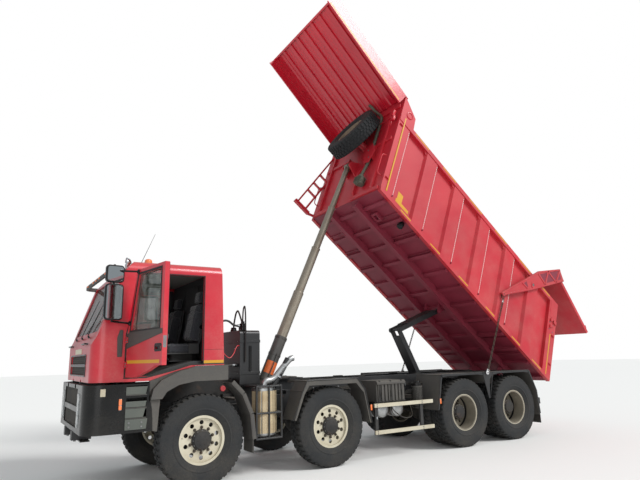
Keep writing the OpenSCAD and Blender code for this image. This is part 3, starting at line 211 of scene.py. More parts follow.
def castOrPlate(name, colour, second, grainMm, bump=0.3, roughness=0.62, metallic=0.0, ior=1.5,
        stretch=(1, 1, 1), stain=0.0, stainColour="#6B4A33", dust=0.3, dustHeight=2.2,
        dustColour="#9B917E"):
    # Metal or moulded plastic without paint gloss: grain in the surface, dust and stains in the colour
    finishes[name], tree = startMaterial(name)
    grain = noise(tree, grainMm, 4.0, 0.6, stretch)
    tone = blendColour(tree, remap(tree, grain, 0.35, 0.65), linear(colour), linear(second))
    stained = remap(tree, noise(tree, 260, 5.0), 0.52, 0.7, 0.0, stain)
    tone = blendColour(tree, stained, tone, linear(stainColour))
    settled = dustMask(tree, dust, dustHeight)
    tone = blendColour(tree, settled, tone, linear(dustColour))
    rough = remap(tree, settled, 0.0, 0.6, roughness, 0.9)
    finishMaterial(tree, tone, rough, grain, bump, Metallic=metallic, IOR=ior)


def clearPane(name, colour, roughness, alpha):
    # Float glass or lens plastic: a thin tinted sheet with gloss and a film of dust
    finishes[name], tree = startMaterial(name)
    film = remap(tree, noise(tree, 130, 5.0), 0.35, 0.75, 0.0, 0.35)
    tint = blendColour(tree, film, linear(colour), linear("#B9B4A6"))
    shader = finishMaterial(tree, tint, roughness, None, 0, IOR=1.5)
    see = remap(tree, film, 0.0, 0.35, alpha, min(1.0, alpha + 0.18))
    tree.links.new(see, shader.inputs["Alpha"])


# Two-pack alkyd on steel sheet: deep gloss, faded a little, dusty low down
paint("redPaint", "#C4182C", "#B3142A", "#7A1420", fadeMm=900, scratches=0.1, dust=0.42, dustHeight=3.4,
    roughness=0.34, peelMm=6, bump=0.1, coat=0.35)
# The same paint on the bed: flatter, washed by rock dust
paint("redBedPaint", "#C21A2C", "#AC1A2A", "#8C6A5C", fadeMm=1300, scratches=0.16, dust=0.38,
    dustHeight=6.5, dustColour="#B58D80", roughness=0.46, peelMm=9, bump=0.16, coat=0.12)
# The bed's underside: the same red, darkened as painted shade for the shade under the raised bed
paint("redShadePaint", "#86263A", "#741F30", "#5A2A2C", fadeMm=700, dust=0.1, dustHeight=2.0,
    dustColour="#7A5A54", peelMm=9)
# Deep twin rims: the same enamel, darker for brake dust and for painted shade inside the deep barrels
paint("dustAndShadeEnamel", "#8A8374", "#736C5F", "#4E473C", scratches=0.4, dustColour="#6E6556", roughness=0.55,
    bump=0.15)
# Weld bead in near-white pink: a painted highlight of light catching the stitch welds
castOrPlate("weldHighlight", "#F4E2DF", "#E6CBC7", 6, dust=0.0, dustHeight=1.0, dustColour="#8A8373",
    roughness=0.5)
# Wheel and guard enamel: warm cream, stained by brake dust
paint("creamPaint", "#C6C0AC", "#B6AE98", "#8D7F68", fadeMm=240, scratches=0.3, dust=0.6,
    dustColour="#A0947C", roughness=0.42, bump=0.12, coat=0.1)
# Old wheel enamel of the spare: dull grey-brown, matt with age
paint("spareEnamel", "#93846F", "#7D7060", "#4A4036", scratches=0.4, dust=0.4, dustHeight=7,
    dustColour="#7B7160")
# Chassis lacquer: satin black under a coat of road dust
paint("blackFrame", "#17181A", "#232426", "#4A4640", fadeMm=500, dust=0.2, dustHeight=1.9,
    dustColour="#6E6659", roughness=0.42, coat=0.05)
# Sand-cast iron under black primer: pitted, matt
castOrPlate("castIron", "#171718", "#242220", 7, stain=0.4, dust=0.45, dustHeight=1.6, dustColour="#6B6254",
    bump=0.5)
# Polished black polymer bumper
castOrPlate("blackPlastic", "#0B0C0D", "#101113", 40, dust=0.2, dustHeight=1.9, dustColour="#6E675A",
    roughness=0.24, bump=0.03, ior=1.36)
# Grained polypropylene: grey-brown, 2 mm leather grain, chalky
castOrPlate("grainPlastic", "#3D3B39", "#484643", 3, dustColour="#8E8675", roughness=0.6, bump=0.35)
# The boarding steps' glass-filled nylon: lighter and greener than the trim, its colour darkened as painted
# shade of the shaded steps
castOrPlate("shadedStepPlastic", "#454A45", "#4F544E", 4, dust=0.2, dustColour="#958D7B", roughness=0.58)
# Carbon-black tyre rubber, greyed by dust in its low places
castOrPlate("tyreRubber", "#17191B", "#222426", 12, dust=0.34, dustHeight=1.5, dustColour="#5F574B",
    roughness=0.82)
# Braided hose cover: smooth synthetic rubber
castOrPlate("hoseRubber", "#131314", "#1B1B1C", 5, dust=0.4, dustHeight=3.0, dustColour="#7B7364",
    roughness=0.5, bump=0.15)
# Hot-dip aluminised sheet: soft bright spangle, gold-brown from heat
castOrPlate("heatSheet", "#BFAE8E", "#AE9C7C", 18, stain=0.4, stainColour="#8A6A3E", dust=0.4,
    dustHeight=1.8, roughness=0.6, bump=0.15, metallic=0.3)
# Weathered grey-green casting of the bed heater: dull, chalky
castOrPlate("dullCast", "#6A6B5E", "#5B5C51", 9, stain=0.4, dustHeight=6.0, dustColour="#8A8270",
    metallic=0.35)
# Rolled aluminium sheet of the fuel tank
castOrPlate("tankSheet", "#B6B8B8", "#A5A7A8", 5, stretch=(40, 1, 1), dust=0.5, dustHeight=1.6,
    roughness=0.36, bump=0.12, metallic=0.9)
# Zinc-plated chain and fasteners: dull grey crystals
castOrPlate("zincSteel", "#8E9092", "#77797B", 6, stain=0.35, dust=0.35, dustHeight=2.6,
    dustColour="#8A7F6C", roughness=0.45, bump=0.2, metallic=0.85)
# Rusted fasteners and the gate's chains: brown-grey, dull
castOrPlate("rustedSteel", "#4E463D", "#3C362F", 5, stain=0.5, dust=0.35, dustHeight=2.6,
    dustColour="#7C705F", metallic=0.4)
# Ground and oiled hoist stages: fine lengthwise streaks
castOrPlate("groundSteel", "#A09789", "#867D70", 5, stretch=(1, 1, 30), stain=0.25, dust=0.2,
    dustHeight=2.0, dustColour="#8A7F6C", roughness=0.38, bump=0.06, metallic=0.7)
# Dark enamel on the hoist barrel and valves
paint("hoistEnamel", "#3C3A38", "#4A4744", "#6B6862", fadeMm=300, scratches=0.3, dustHeight=2.2,
    dustColour="#837A69", roughness=0.4, peelMm=4, bump=0.15, coat=0.1)
# Cab linings: matt moulded polypropylene
castOrPlate("liningPlastic", "#2C2D2F", "#343537", 3, dust=0.25, dustHeight=3.0, dustColour="#8B8373",
    roughness=0.66)
# Foam-backed headlining: pale grey felt, no gloss
castOrPlate("paleLining", "#8B8A84", "#7D7C77", 5, dust=0.15, dustHeight=3.2, dustColour="#8B8373",
    roughness=0.9)
# Woven polyester belt: dense dark rib
castOrPlate("beltWebbing", "#17181B", "#26272B", 2, stretch=(6, 1, 1), dust=0.15, dustHeight=3.2,
    dustColour="#8B8373", roughness=0.8, bump=0.4)
# Yellow retro-reflective tape: bright, faintly beaded
castOrPlate("markTape", "#CF9A22", "#C4901C", 4, dustHeight=2.5, dustColour="#B39A66", roughness=0.38,
    bump=0.12)
# Blank plate enamel
castOrPlate("blankPlate", "#CFC7AE", "#C4BBA0", 30, dustHeight=2.0, roughness=0.4, bump=0.05)
# Orange label field on the hoist, left blank
castOrPlate("orangeField", "#D9662A", "#CC5C22", 60, dust=0.4, dustColour="#9B8870", roughness=0.45,
    bump=0.04)
# Silvered bowl behind the lamp lenses
castOrPlate("lampBowl", "#D6D8D9", "#C9CBCC", 50, dust=0.0, dustHeight=1.0, roughness=0.12, bump=0.02,
    metallic=1.0)
clearPane("windowGlass", "#39433F", 0.04, 0.42)
clearPane("lampLens", "#DDE2E4", 0.06, 0.35)
clearPane("amberLens", "#F0701A", 0.18, 0.93)
clearPane("redLens", "#A3141A", 0.18, 0.95)
# Extruded synthetic rubber for seals: soft black
castOrPlate("rubberSeal", "#141415", "#1D1D1E", 4, dustHeight=2.6, dustColour="#7B7364", roughness=0.7,
    bump=0.1)
# Silvered glass of the mirrors
finishes["mirrorGlass"], mirrorTree = startMaterial("silveredGlass")
finishMaterial(mirrorTree, linear("#AEB4B6"), 0.06, None, 0, Metallic=1.0)


def wovenCloth(name):
    # Flat-woven seat cloth: two thread directions 3 mm apart, drawn coarser than real so that it shows
    finishes[name], tree = startMaterial(name)
    threads = []
    for axis in ("X", "Z"):
        wave = addNode(tree, "ShaderNodeTexWave", {"Vector": patternPlace(tree, 3)}, bands_direction=axis,
            Scale=0.5, Distortion=0.4)
        threads.append(wave.outputs["Fac"])
    weave = math2(tree, "ADD", threads[0], threads[1])
    fleck = remap(tree, noise(tree, 16, 3.0), 0.35, 0.65)
    colour = blendColour(tree, fleck, linear("#2B2C31"), linear("#3A3B40"))
    finishMaterial(tree, colour, 0.92, weave, 0.5, Sheen_Weight=0.35, Sheen_Roughness=0.5)


wovenCloth("seatCloth")
print("finishes made:", len(finishes))

# Finish of each node by the start of its name
nodeFinish = {
    "battery_box mudguards cab_trim": "grainPlastic", "bumper mirrors": "blackPlastic",
    "frame exhaust side_guards oil_tank stabilizer": "blackFrame", "axles engine knuckle": "castIron",
    # bed_floor takes the darker red that paints the shade under the raised bed
    "cab_shell cab_roof cab_front door_l door_r canopy": "redPaint", "bed_floor": "redShadePaint",
    "bed_sides bed_front tailgate": "redBedPaint", "lamps": "lampLens", "fuel_tank": "tankSheet",
    "hose_a": "hoseRubber", "cab_floor dashboard": "liningPlastic", "seats": "seatCloth",
    "windscreen door_glass": "windowGlass", "tyre spare_wheel": "tyreRubber", "chains": "zincSteel",
    # the twin rims 3 and 4 take enamel darkened for brake dust and painted shade
    "rim_l1 rim_l2 rim_r1 rim_r2": "creamPaint", "rim_l3 rim_l4 rim_r3 rim_r4": "dustAndShadeEnamel",
    "hoist_barrel": "hoistEnamel", "hoist_stage": "groundSteel"}
for name, node in nodes.items():
    key = next(f for starts, f in nodeFinish.items() if name.startswith(tuple(starts.split())))
    for slot in node.material_slots:
        slot.material = finishes[key]

# Mesh helpers: each adds to a bmesh through a matrix that takes millimetres to the frame


def slab(mesh, matrix, low, high):
    corners = [(x, y, z) for x in (low[0], high[0]) for y in (low[1], high[1]) for z in (low[2], high[2])]
    verts = [mesh.verts.new(matrix @ Vector(c)) for c in corners]
    for quad in ((0, 1, 3, 2), (4, 6, 7, 5), (0, 4, 5, 1), (2, 3, 7, 6), (0, 2, 6, 4), (1, 5, 7, 3)):
        mesh.faces.new([verts[i] for i in quad])


def outlineVerts(mesh, matrix, outline, depth, plane):
    places = {"xz": lambda a, b: (a, depth, b), "yz": lambda a, b: (depth, a, b),
        "xy": lambda a, b: (a, b, depth)}
    return [mesh.verts.new(matrix @ Vector(places[plane](a, b))) for a, b in outline]


def prism(mesh, matrix, outline, low, high, plane="xz"):
    # An outline pushed out along the axis that the plane leaves free
    ends = [outlineVerts(mesh, matrix, outline, c, plane) for c in (low, high)]
    mesh.faces.new(ends[0])
    mesh.faces.new(ends[1][::-1])
    for i in range(len(outline)):
        j = (i + 1) % len(outline)
        mesh.faces.new((ends[0][j], ends[0][i], ends[1][i], ends[1][j]))


def lathe(mesh, matrix, profile, sides=48, axis="Y", closed=False):
    # A profile of (radius, place along the axis) turned all the way round; radius 0 closes an end
    rings = []
    for radius, along in profile:
        ring = []
        for k in range(sides if radius > 1e-6 else 1):
            a = 2 * math.pi * k / sides
            p = {"Y": (radius * math.cos(a), along, radius * math.sin(a)),
                "Z": (radius * math.cos(a), radius * math.sin(a), along),
                "X": (along, radius * math.cos(a), radius * math.sin(a))}[axis]
            ring.append(mesh.verts.new(matrix @ Vector(p)))
        rings.append(ring)
    pairs = list(zip(rings, rings[1:])) + ([(rings[-1], rings[0])] if closed else [])
    for a, b in pairs:
        for k in range(sides):
            m = (k + 1) % sides
            quad = [a[k % len(a)], a[m % len(a)], b[m % len(b)], b[k % len(b)]]
            unique = list(dict.fromkeys(quad))
            if len(unique) > 2:
                mesh.faces.new(unique)


def roundVerts(mesh, matrix, centre, radius, sides, side, other):
    # A ring of vertices round a centre, in the plane of two directions
    ring = []
    for k in range(sides):
        a = 2 * math.pi * k / sides
        ring.append(mesh.verts.new(matrix @ (centre + radius * (math.cos(a) * side + math.sin(a) * other))))
    return ring


def rod(mesh, matrix, start, end, radius, sides=16, tip=None):
    start, end = Vector(start), Vector(end)
    along = (end - start).normalized()
    side = along.orthogonal().normalized()
    other = along.cross(side)
    ends = ((start, radius), (end, radius if tip is None else tip))
    rings = [roundVerts(mesh, matrix, centre, r, sides, side, other) for centre, r in ends]
    for k in range(sides):
        m = (k + 1) % sides
        mesh.faces.new((rings[0][k], rings[0][m], rings[1][m], rings[1][k]))
    mesh.faces.new(rings[0][::-1])
    mesh.faces.new(rings[1])


def smoothPath(points, steps=6):
    # Points on a curve that passes through each given point
    points = [Vector(p) for p in points]
    padded = [2 * points[0] - points[1]] + points + [2 * points[-1] - points[-2]]
    path = []
    for i in range(1, len(padded) - 2):
        a, b, c, d = padded[i - 1:i + 3]
        for s in range(steps):
            t = s / steps
            square, cube = 2 * a - 5 * b + 4 * c - d, 3 * b - a - 3 * c + d
            path.append(0.5 * (2 * b + (c - a) * t + square * t * t + cube * t ** 3))
    return path + [points[-1]]


def pipe(mesh, matrix, points, radius, sides=12, steps=6):
    # Tube along a smooth path, with closed ends
    path = smoothPath(points, steps) if steps > 1 else [Vector(p) for p in points]
    side = (path[1] - path[0]).orthogonal().normalized()
    rings = []
    for i, p in enumerate(path):
        along = (path[min(i + 1, len(path) - 1)] - path[max(i - 1, 0)]).normalized()
        side = (side - along * side.dot(along)).normalized()
        other = along.cross(side)
        rings.append(roundVerts(mesh, matrix, p, radius, sides, side, other))
    for a, b in zip(rings, rings[1:]):
        for k in range(sides):
            m = (k + 1) % sides
            mesh.faces.new((a[k], a[m], b[m], b[k]))
    mesh.faces.new(rings[0][::-1])
    mesh.faces.new(rings[-1])


def meshData(name, mesh):
    bmesh.ops.recalc_face_normals(mesh, faces=mesh.faces)
    data = bpy.data.meshes.new(name)
    mesh.to_mesh(data)
    mesh.free()
    data.shade_smooth()
    data.set_sharp_from_angle(angle=math.radians(38))
    return data


def placeMesh(name, data, body, replaced=(), bevelMm=0):
    # Shows a mesh as a piece that rides on a body
    piece = bpy.data.objects.new(name, data)
    bpy.context.scene.collection.objects.link(piece)
    if bevelMm:
        bevel = piece.modifiers.new("edges", "BEVEL")
        bevel.width = bevelMm / 1000
        bevel.segments = 2
        bevel.limit_method = "ANGLE"
        bevel.angle_limit = math.radians(35)
    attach(piece, body)
    if replaced:
        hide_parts(*replaced)
    return piece


def makePiece(name, mesh, finish, body, bevelMm=0, replaced=()):
    data = meshData(name, mesh)
    data.materials.append(finishes[finish])
    return placeMesh(name, data, body, replaced, bevelMm)


def addPiece(name, finish, body, matrix, shapes, bevelMm=0):
    # A piece from a list of shapes: helper, own place if it isn't the piece's, and what the helper takes
    mesh = bmesh.new()
    for helper, *values in shapes:
        own = values.pop(0) if isinstance(values[0], Matrix) else matrix
        helper(mesh, own, *values)
    makePiece(name, mesh, finish, body, bevelMm)


# Geometry Nodes: one tree puts copies on points, one lays blocks round a tyre, one lays links along a line


def startTree(name, inputs):
    tree = bpy.data.node_groups.new(name, "GeometryNodeTree")
    for label, kind, value in inputs:
        socket = tree.interface.new_socket(label, in_out="INPUT", socket_type=kind)
        if value is not None:
            socket.default_value = value
    tree.interface.new_socket("Geometry", in_out="OUTPUT", socket_type="NodeSocketGeometry")
    return tree, addNode(tree, "NodeGroupInput"), addNode(tree, "NodeGroupOutput")


def endTree(tree, source, inputs, out):
    real = addNode(tree, "GeometryNodeRealizeInstances", {"Geometry": source})
    finish = inputs.outputs["Finish"]
    dressed = addNode(tree, "GeometryNodeSetMaterial", {"Geometry": real, "Material": finish})
    tree.links.new(dressed.outputs[0], out.inputs[0])


def makeCopiesTree():
    tree, inputs, out = startTree("copiesOnPoints", [("Geometry", "NodeSocketGeometry", None),
        ("Piece", "NodeSocketObject", None),
        ("Size", "NodeSocketFloat", 1.0), ("Finish", "NodeSocketMaterial", None)])
    piece = addNode(tree, "GeometryNodeObjectInfo", {"Object": inputs.outputs["Piece"]})
    facing = addNode(tree, "GeometryNodeInputNamedAttribute", data_type="FLOAT_VECTOR", Name="turn")
    euler = addNode(tree, "FunctionNodeEulerToRotation", {"Euler": facing})
    copies = addNode(tree, "GeometryNodeInstanceOnPoints", {
        "Points": inputs.outputs["Geometry"], "Instance": piece.outputs["Geometry"], "Rotation": euler,
        "Scale": inputs.outputs["Size"]})
    endTree(tree, copies.outputs[0], inputs, out)
    return tree


def makeTreadTree():
    # Count blocks round the tyre in each of Rows rows, each row Slip of a pitch behind the last
    tree, inputs, out = startTree("treadBlocks", [("Geometry", "NodeSocketGeometry", None),
        ("Block", "NodeSocketObject", None), ("Count", "NodeSocketInt", 40),
        ("Rows", "NodeSocketInt", 3), ("Row Step", "NodeSocketFloat", 0.05),
        ("First Row", "NodeSocketFloat", -0.05),
        ("Slip", "NodeSocketFloat", 0.5), ("Radius", "NodeSocketFloat", 0.6),
        ("Finish", "NodeSocketMaterial", None)])
    total = addNode(tree, "ShaderNodeMath", {0: inputs.outputs["Count"], 1: inputs.outputs["Rows"]},
        operation="MULTIPLY")
    line = addNode(tree, "GeometryNodeMeshLine", {"Count": total})
    index = addNode(tree, "GeometryNodeInputIndex")
    ratio = addNode(tree, "ShaderNodeMath", {0: index, 1: inputs.outputs["Count"]}, operation="DIVIDE")
    row = addNode(tree, "ShaderNodeMath", {0: ratio}, operation="FLOOR")
    slipped = addNode(tree, "ShaderNodeMath", {0: row, 1: inputs.outputs["Slip"]}, operation="MULTIPLY")
    place = addNode(tree, "ShaderNodeMath", {0: index, 1: slipped}, operation="ADD")
    share = addNode(tree, "ShaderNodeMath", {0: place, 1: inputs.outputs["Count"]}, operation="DIVIDE")
    angle = addNode(tree, "ShaderNodeMath", {0: share}, operation="MULTIPLY", _1=2 * math.pi)
    cosine = addNode(tree, "ShaderNodeMath", {0: angle}, operation="COSINE")
    sine = addNode(tree, "ShaderNodeMath", {0: angle}, operation="SINE")
    across = addNode(tree, "ShaderNodeMath", {0: row, 1: inputs.outputs["Row Step"],
        2: inputs.outputs["First Row"]}, operation="MULTIPLY_ADD")
    x = addNode(tree, "ShaderNodeMath", {0: cosine, 1: inputs.outputs["Radius"]}, operation="MULTIPLY")
    z = addNode(tree, "ShaderNodeMath", {0: sine, 1: inputs.outputs["Radius"]}, operation="MULTIPLY")
    spot = addNode(tree, "ShaderNodeCombineXYZ", {"X": x, "Y": across, "Z": z})
    placed = addNode(tree, "GeometryNodeSetPosition", {"Geometry": line, "Position": spot})
    back = addNode(tree, "ShaderNodeMath", {0: angle}, operation="MULTIPLY", _1=-1.0)
    spin = addNode(tree, "ShaderNodeCombineXYZ", {"Y": back})
    euler = addNode(tree, "FunctionNodeEulerToRotation", {"Euler": spin})
    block = addNode(tree, "GeometryNodeObjectInfo", {"Object": inputs.outputs["Block"]})
    copies = addNode(tree, "GeometryNodeInstanceOnPoints", {"Points": placed,
        "Instance": block.outputs["Geometry"], "Rotation": euler})
    both = addNode(tree, "GeometryNodeJoinGeometry", {"Geometry": inputs.outputs["Geometry"]})
    tree.links.new(copies.outputs[0], both.inputs[0])
    endTree(tree, both.outputs[0], inputs, out)
    return tree


def makeLinksTree():
    # Links from the line's start, a pitch apart, each turned a quarter from the last
    tree, inputs, out = startTree("chainLinks", [("Geometry", "NodeSocketGeometry", None),
        ("Link", "NodeSocketObject", None),
        ("Pitch", "NodeSocketFloat", 0.05), ("Finish", "NodeSocketMaterial", None)])
    curve = addNode(tree, "GeometryNodeMeshToCurve", {"Mesh": inputs.outputs["Geometry"]})
    spaced = addNode(tree, "GeometryNodeCurveToPoints", {"Curve": curve, "Length": inputs.outputs["Pitch"]},
        mode="LENGTH")
    index = addNode(tree, "GeometryNodeInputIndex")
    quarter = addNode(tree, "ShaderNodeMath", {0: index}, operation="MULTIPLY", _1=math.pi / 2)
    twist = addNode(tree, "ShaderNodeCombineXYZ", {"Z": quarter})
    twistRotation = addNode(tree, "FunctionNodeEulerToRotation", {"Euler": twist})
    turned = addNode(tree, "FunctionNodeRotateRotation", {"Rotation": spaced.outputs["Rotation"],
        "Rotate By": twistRotation}, rotation_space="LOCAL")
    link = addNode(tree, "GeometryNodeObjectInfo", {"Object": inputs.outputs["Link"]})
    copies = addNode(tree, "GeometryNodeInstanceOnPoints", {"Points": spaced,
        "Instance": link.outputs["Geometry"], "Rotation": turned})
    endTree(tree, copies.outputs[0], inputs, out)
    return tree


copiesTree, treadTree, linksTree = makeCopiesTree(), makeTreadTree(), makeLinksTree()


def runTree(name, tree, start, values):
    # Fills a tree's inputs by their identifiers, and keeps the result as a plain mesh
    holder = bpy.data.objects.new(name + "Start", start)
    bpy.context.scene.collection.objects.link(holder)
    modifier = holder.modifiers.new("nodes", "NODES")
    modifier.node_group = tree
    for item in tree.interface.items_tree:
        if item.in_out == "INPUT" and item.name in values:
            modifier[item.identifier] = values[item.name]
    bpy.context.view_layer.update()
    result = bpy.data.meshes.new_from_object(holder.evaluated_get(bpy.context.evaluated_depsgraph_get()))
    holder.modifiers.remove(modifier)
    bpy.data.objects.remove(holder)
    result.name = name
    return result


def hiddenPart(name, mesh):
    # A small part that a tree copies; it isn't shown itself
    return bpy.data.objects.new(name, meshData(name, mesh))


def addCopies(name, part, places, finish, body, size=1.0):
    # places is a list of matrices in millimetres; each copy takes its place and turn from one
    start = bpy.data.meshes.new(name + "Points")
    start.from_pydata([m.translation for m in places], [], [])
    attribute = start.attributes.new("turn", "FLOAT_VECTOR", "POINT")
    for i, m in enumerate(places):
        attribute.data[i].vector = m.to_quaternion().to_euler()
    mesh = runTree(name, copiesTree, start, {"Piece": part, "Size": size * 0.001,
        "Finish": finishes[finish]})
    placeMesh(name, mesh, body)


millimetres = Matrix.Scale(0.001, 4)


def joined(parts):
    # One mesh out of several (mesh, matrix) pairs, with the first one's materials
    mesh = bmesh.new()
    for data, matrix in parts:
        copy = data.copy()
        copy.transform(matrix)
        mesh.from_mesh(copy)
        bpy.data.meshes.remove(copy)
    data = parts[0][0].copy()
    mesh.to_mesh(data)
    mesh.free()
    return data


def facing(base, point, axis):
    # Matrix that stands a part on a point with its Z along the axis; base may be a mirror image
    aim = (base.to_3x3() @ Vector(axis)).normalized()
    upright = Vector((0, 0, 1)).rotation_difference(aim)
    return Matrix.Translation(base @ Vector(point)) @ upright.to_matrix().to_4x4()


def ringPrism(mesh, matrix, inner, outer, low, high, plane="xz"):
    # A frame between two outlines with the same number of points
    loops = [outlineVerts(mesh, matrix, o, c, plane) for o in (inner, outer) for c in (low, high)]
    count = len(inner)
    for a, b in ((0, 1), (1, 3), (3, 2), (2, 0)):
        for i in range(count):
            j = (i + 1) % count
            mesh.faces.new((loops[a][i], loops[a][j], loops[b][j], loops[b][i]))


def edging(mesh, matrix, outline, y, radius, sides=8):
    # Rods along the sides of a closed outline
    for a, b in zip(outline, outline[1:] + outline[:1]):
        rod(mesh, matrix, (a[0], y, a[1]), (b[0], y, b[1]), radius, sides)


def softRect(x, y, w, h, r, steps=5):
    # Outline of a rectangle with round corners, from its middle
    points = []
    for k, (cx, cy) in enumerate(((w / 2 - r, h / 2 - r), (r - w / 2, h / 2 - r), (r - w / 2, r - h / 2),
            (w / 2 - r, r - h / 2))):
        for s in range(steps + 1):
            a = math.radians(90 * k + 90 * s / steps)
            points.append((x + cx + r * math.cos(a), y + cy + r * math.sin(a)))
    return points


# Small parts that are copied
boltValues = {"across": 11, "head": 7, "washer": 13}


def makeBolt():
    mesh = bmesh.new()
    lathe(mesh, still, [(boltValues["washer"], 0), (boltValues["washer"], 2), (0, 2)], 10, "Z")
    lathe(mesh, still, [(boltValues["across"], 2), (boltValues["across"], 6),
        (boltValues["across"] - 2, boltValues["head"] + 1), (0, boltValues["head"] + 1)], 6, "Z")
    return hiddenPart("boltPart", mesh)


def makeWheelNut():
    mesh = bmesh.new()
    lathe(mesh, still, [(23, 0), (23, 4), (17, 5)], 10, "Z")
    lathe(mesh, still, [(18.5, 4), (18.5, 22), (14, 26), (11, 26)], 6, "Z")
    lathe(mesh, still, [(11, 24), (11, 37), (0, 38)], 8, "Z")
    return hiddenPart("wheelNutPart", mesh)


boltPart, wheelNutPart = makeBolt(), makeWheelNut()


def addBolts(name, body, rows, size=1.0, finish="zincSteel"):
    # rows: (base matrix, axis the heads face, list of points)
    places = [facing(base, p, axis) for base, axis, points in rows for p in points]
    addCopies(name, boltPart, places, finish, body, size)


# Studio: pale floor, one broad lamp high on the camera's side, soft sky, white behind
studio = {"floorHalf": 90, "floorColour": "#F1F0ED", "sun": 2.6, "sunSpread": 24, "sky": 0.62, "fill": 300}


def buildStudio():
    mesh = bmesh.new()
    h = studio["floorHalf"]
    mesh.faces.new([mesh.verts.new((x, y, -0.002)) for x, y in ((-h, -h), (h, -h), (h, h), (-h, h))])
    data = bpy.data.meshes.new("floorSheet")
    mesh.to_mesh(data)
    mesh.free()
    material, tree = startMaterial("floorPaint")
    finishMaterial(tree, linear(studio["floorColour"]), 0.75, None, 0)
    data.materials.append(material)
    floor = bpy.data.objects.new("floorSheet", data)
    sunData = bpy.data.lights.new("broadSun", "SUN")
    sunData.energy = studio["sun"]
    sunData.angle = math.radians(studio["sunSpread"])
    sun = bpy.data.objects.new("broadSun", sunData)
    sun.matrix_world = Vector((0.45, -0.62, -0.64)).to_track_quat("-Z", "Y").to_matrix().to_4x4()
    fillData = bpy.data.lights.new("frontFill", "AREA")
    fillData.energy = studio["fill"]
    fillData.size = 7
    fill = bpy.data.objects.new("frontFill", fillData)
    aim = Vector((-0.62, -0.76, -0.12)).to_track_quat("-Z", "Y")
    fill.matrix_world = Matrix.Translation((9, 11, 4)) @ aim.to_matrix().to_4x4()
    for item in (floor, sun, fill):
        bpy.context.scene.collection.objects.link(item)
    world = bpy.data.worlds.new("studioSky")
    world.use_nodes = True
    tree = world.node_tree
    tree.nodes.clear()
    path = addNode(tree, "ShaderNodeLightPath")
    seen = addNode(tree, "ShaderNodeMath", {0: path.outputs["Is Camera Ray"],
        1: path.outputs["Is Transmission Ray"]}, operation="MAXIMUM")
    sky = addNode(tree, "ShaderNodeBackground", Color=linear("#E9EEF2"), Strength=studio["sky"])
    white = addNode(tree, "ShaderNodeBackground", Color=linear("#FFFFFF"), Strength=1.0)
    mixed = addNode(tree, "ShaderNodeMixShader", {0: seen, 1: sky, 2: white})
    addNode(tree, "ShaderNodeOutputWorld", {"Surface": mixed})
    bpy.context.scene.world = world
    bpy.context.scene.view_settings.view_transform = "Standard"


buildStudio()

# Hydraulic return hose: it repeats the route of the CAD tube
hoseRoute = [(-820, 2225), (-780, 2225), (-744, 2230), (-710, 2243), (-681, 2266), (-636, 2296),
    (-582, 2307), (-528, 2296), (-483, 2266), (-453, 2221), (-442, 2167), (-442, 2060), (-442, 1900),
    (-442, 1760), (-454, 1699), (-489, 1647), (-541, 1612), (-602, 1600), (-670, 1600), (-740, 1600)]
hoseValues = {"radius": 17, "sides": 14, "y": 480}


def buildHose():
    points = [(x, hoseValues["y"], z) for x, z in hoseRoute]
    mesh = bmesh.new()
    pipe(mesh, truck, points, hoseValues["radius"], hoseValues["sides"], 3)
    hose = makePiece("returnHose", mesh, "hoseRubber", "chassis", replaced=("hose_a",))
    addPiece("hoseCollars", "zincSteel", "chassis", truck, [
        *(shape for x, z in ((-820, 2225), (-740, 1600)) for shape in (
        (rod, (x - 6, 480, z), (x + 34, 480, z), 21, 18),
        (rod, (x + 4, 480, z), (x + 14, 480, z), 25, 6)))])


buildHose()
print("hose laid")

# Tyres: one carcass and three kinds of tread block, copied to every wheel
tyreValues = {"count": 44, "radius": 600, "turnSeed": 4}
tyreSection = [(305.5, 107), (319, 112), (331, 119), (338, 122.5), (352, 132), (378, 146), (400, 153),
    (404, 157), (420, 157.5), (424, 155), (455, 162), (492, 161.5), (522, 158), (541, 155), (556, 153),
    (575, 151), (590, 146), (597, 132), (598, 90)]


def buildTyre():
    carcass = bmesh.new()
    lathe(carcass, millimetres, tyreSection + [(r, -y) for r, y in reversed(tyreSection)], 72, closed=True)
    bmesh.ops.recalc_face_normals(carcass, faces=carcass.faces)
    data = bpy.data.meshes.new("carcass")
    carcass.to_mesh(data)
    carcass.free()
    data.shade_smooth()
    data.set_sharp_from_angle(angle=math.radians(35))
    parts = []
    for side in (-1, 1):
        # Shoulder block with its lug down the sidewall, narrower at the top than at its root
        mesh = bmesh.new()
        for outline, half in (([(84, -6), (84, 13), (124, 13), (141, 1), (150, -12), (138, -16)], 29),
                ([(140, -2), (150, -14), (154, -34), (157, -50), (146, -50), (138, -20)], 13)):
            prism(mesh, millimetres, [(x, side * y) for y, x in outline], -half, half, "xy")
        for v in mesh.verts:
            if v.co.x > 0.008:
                v.co.z *= 0.86
        parts.append((hiddenPart("shoulderBlock", mesh), {"Rows": 1, "Row Step": 0.0, "First Row": 0.0,
            "Slip": 0.5 if side > 0 else 0.0}))
    mesh = bmesh.new()
    prism(mesh, millimetres @ Matrix.Rotation(math.pi / 2, 4, "Y"),
        [(-29, -15), (-20, -23), (25, -18), (29, 13), (20, 23), (-25, 19)], -6, 13, "xy")
    for v in mesh.verts:
        v.co.x = 0.013 if v.co.x > 0 else -0.006
    parts.append((hiddenPart("centreBlock", mesh), {"Rows": 3, "Row Step": 0.055, "First Row": -0.055,
        "Slip": 0.5}))
    for part, values in parts:
        data = runTree("treadedTyre", treadTree, data, {"Block": part, "Count": tyreValues["count"],
            "Radius": tyreValues["radius"] / 1000,
            "Finish": finishes["tyreRubber"], **values})
    return data


tyreMesh = buildTyre()
wheelPlaces = {1: 0, 2: -2130, 3: -5080, 4: -6490}
spins = random.Random(tyreValues["turnSeed"])


def wheelMatrix(side, x, y):
    # The wheel's own Y points outwards on either side
    half = still if side == "l" else turn(180, "Z")
    return truck @ move(x, y if side == "l" else -y, 613) @ half


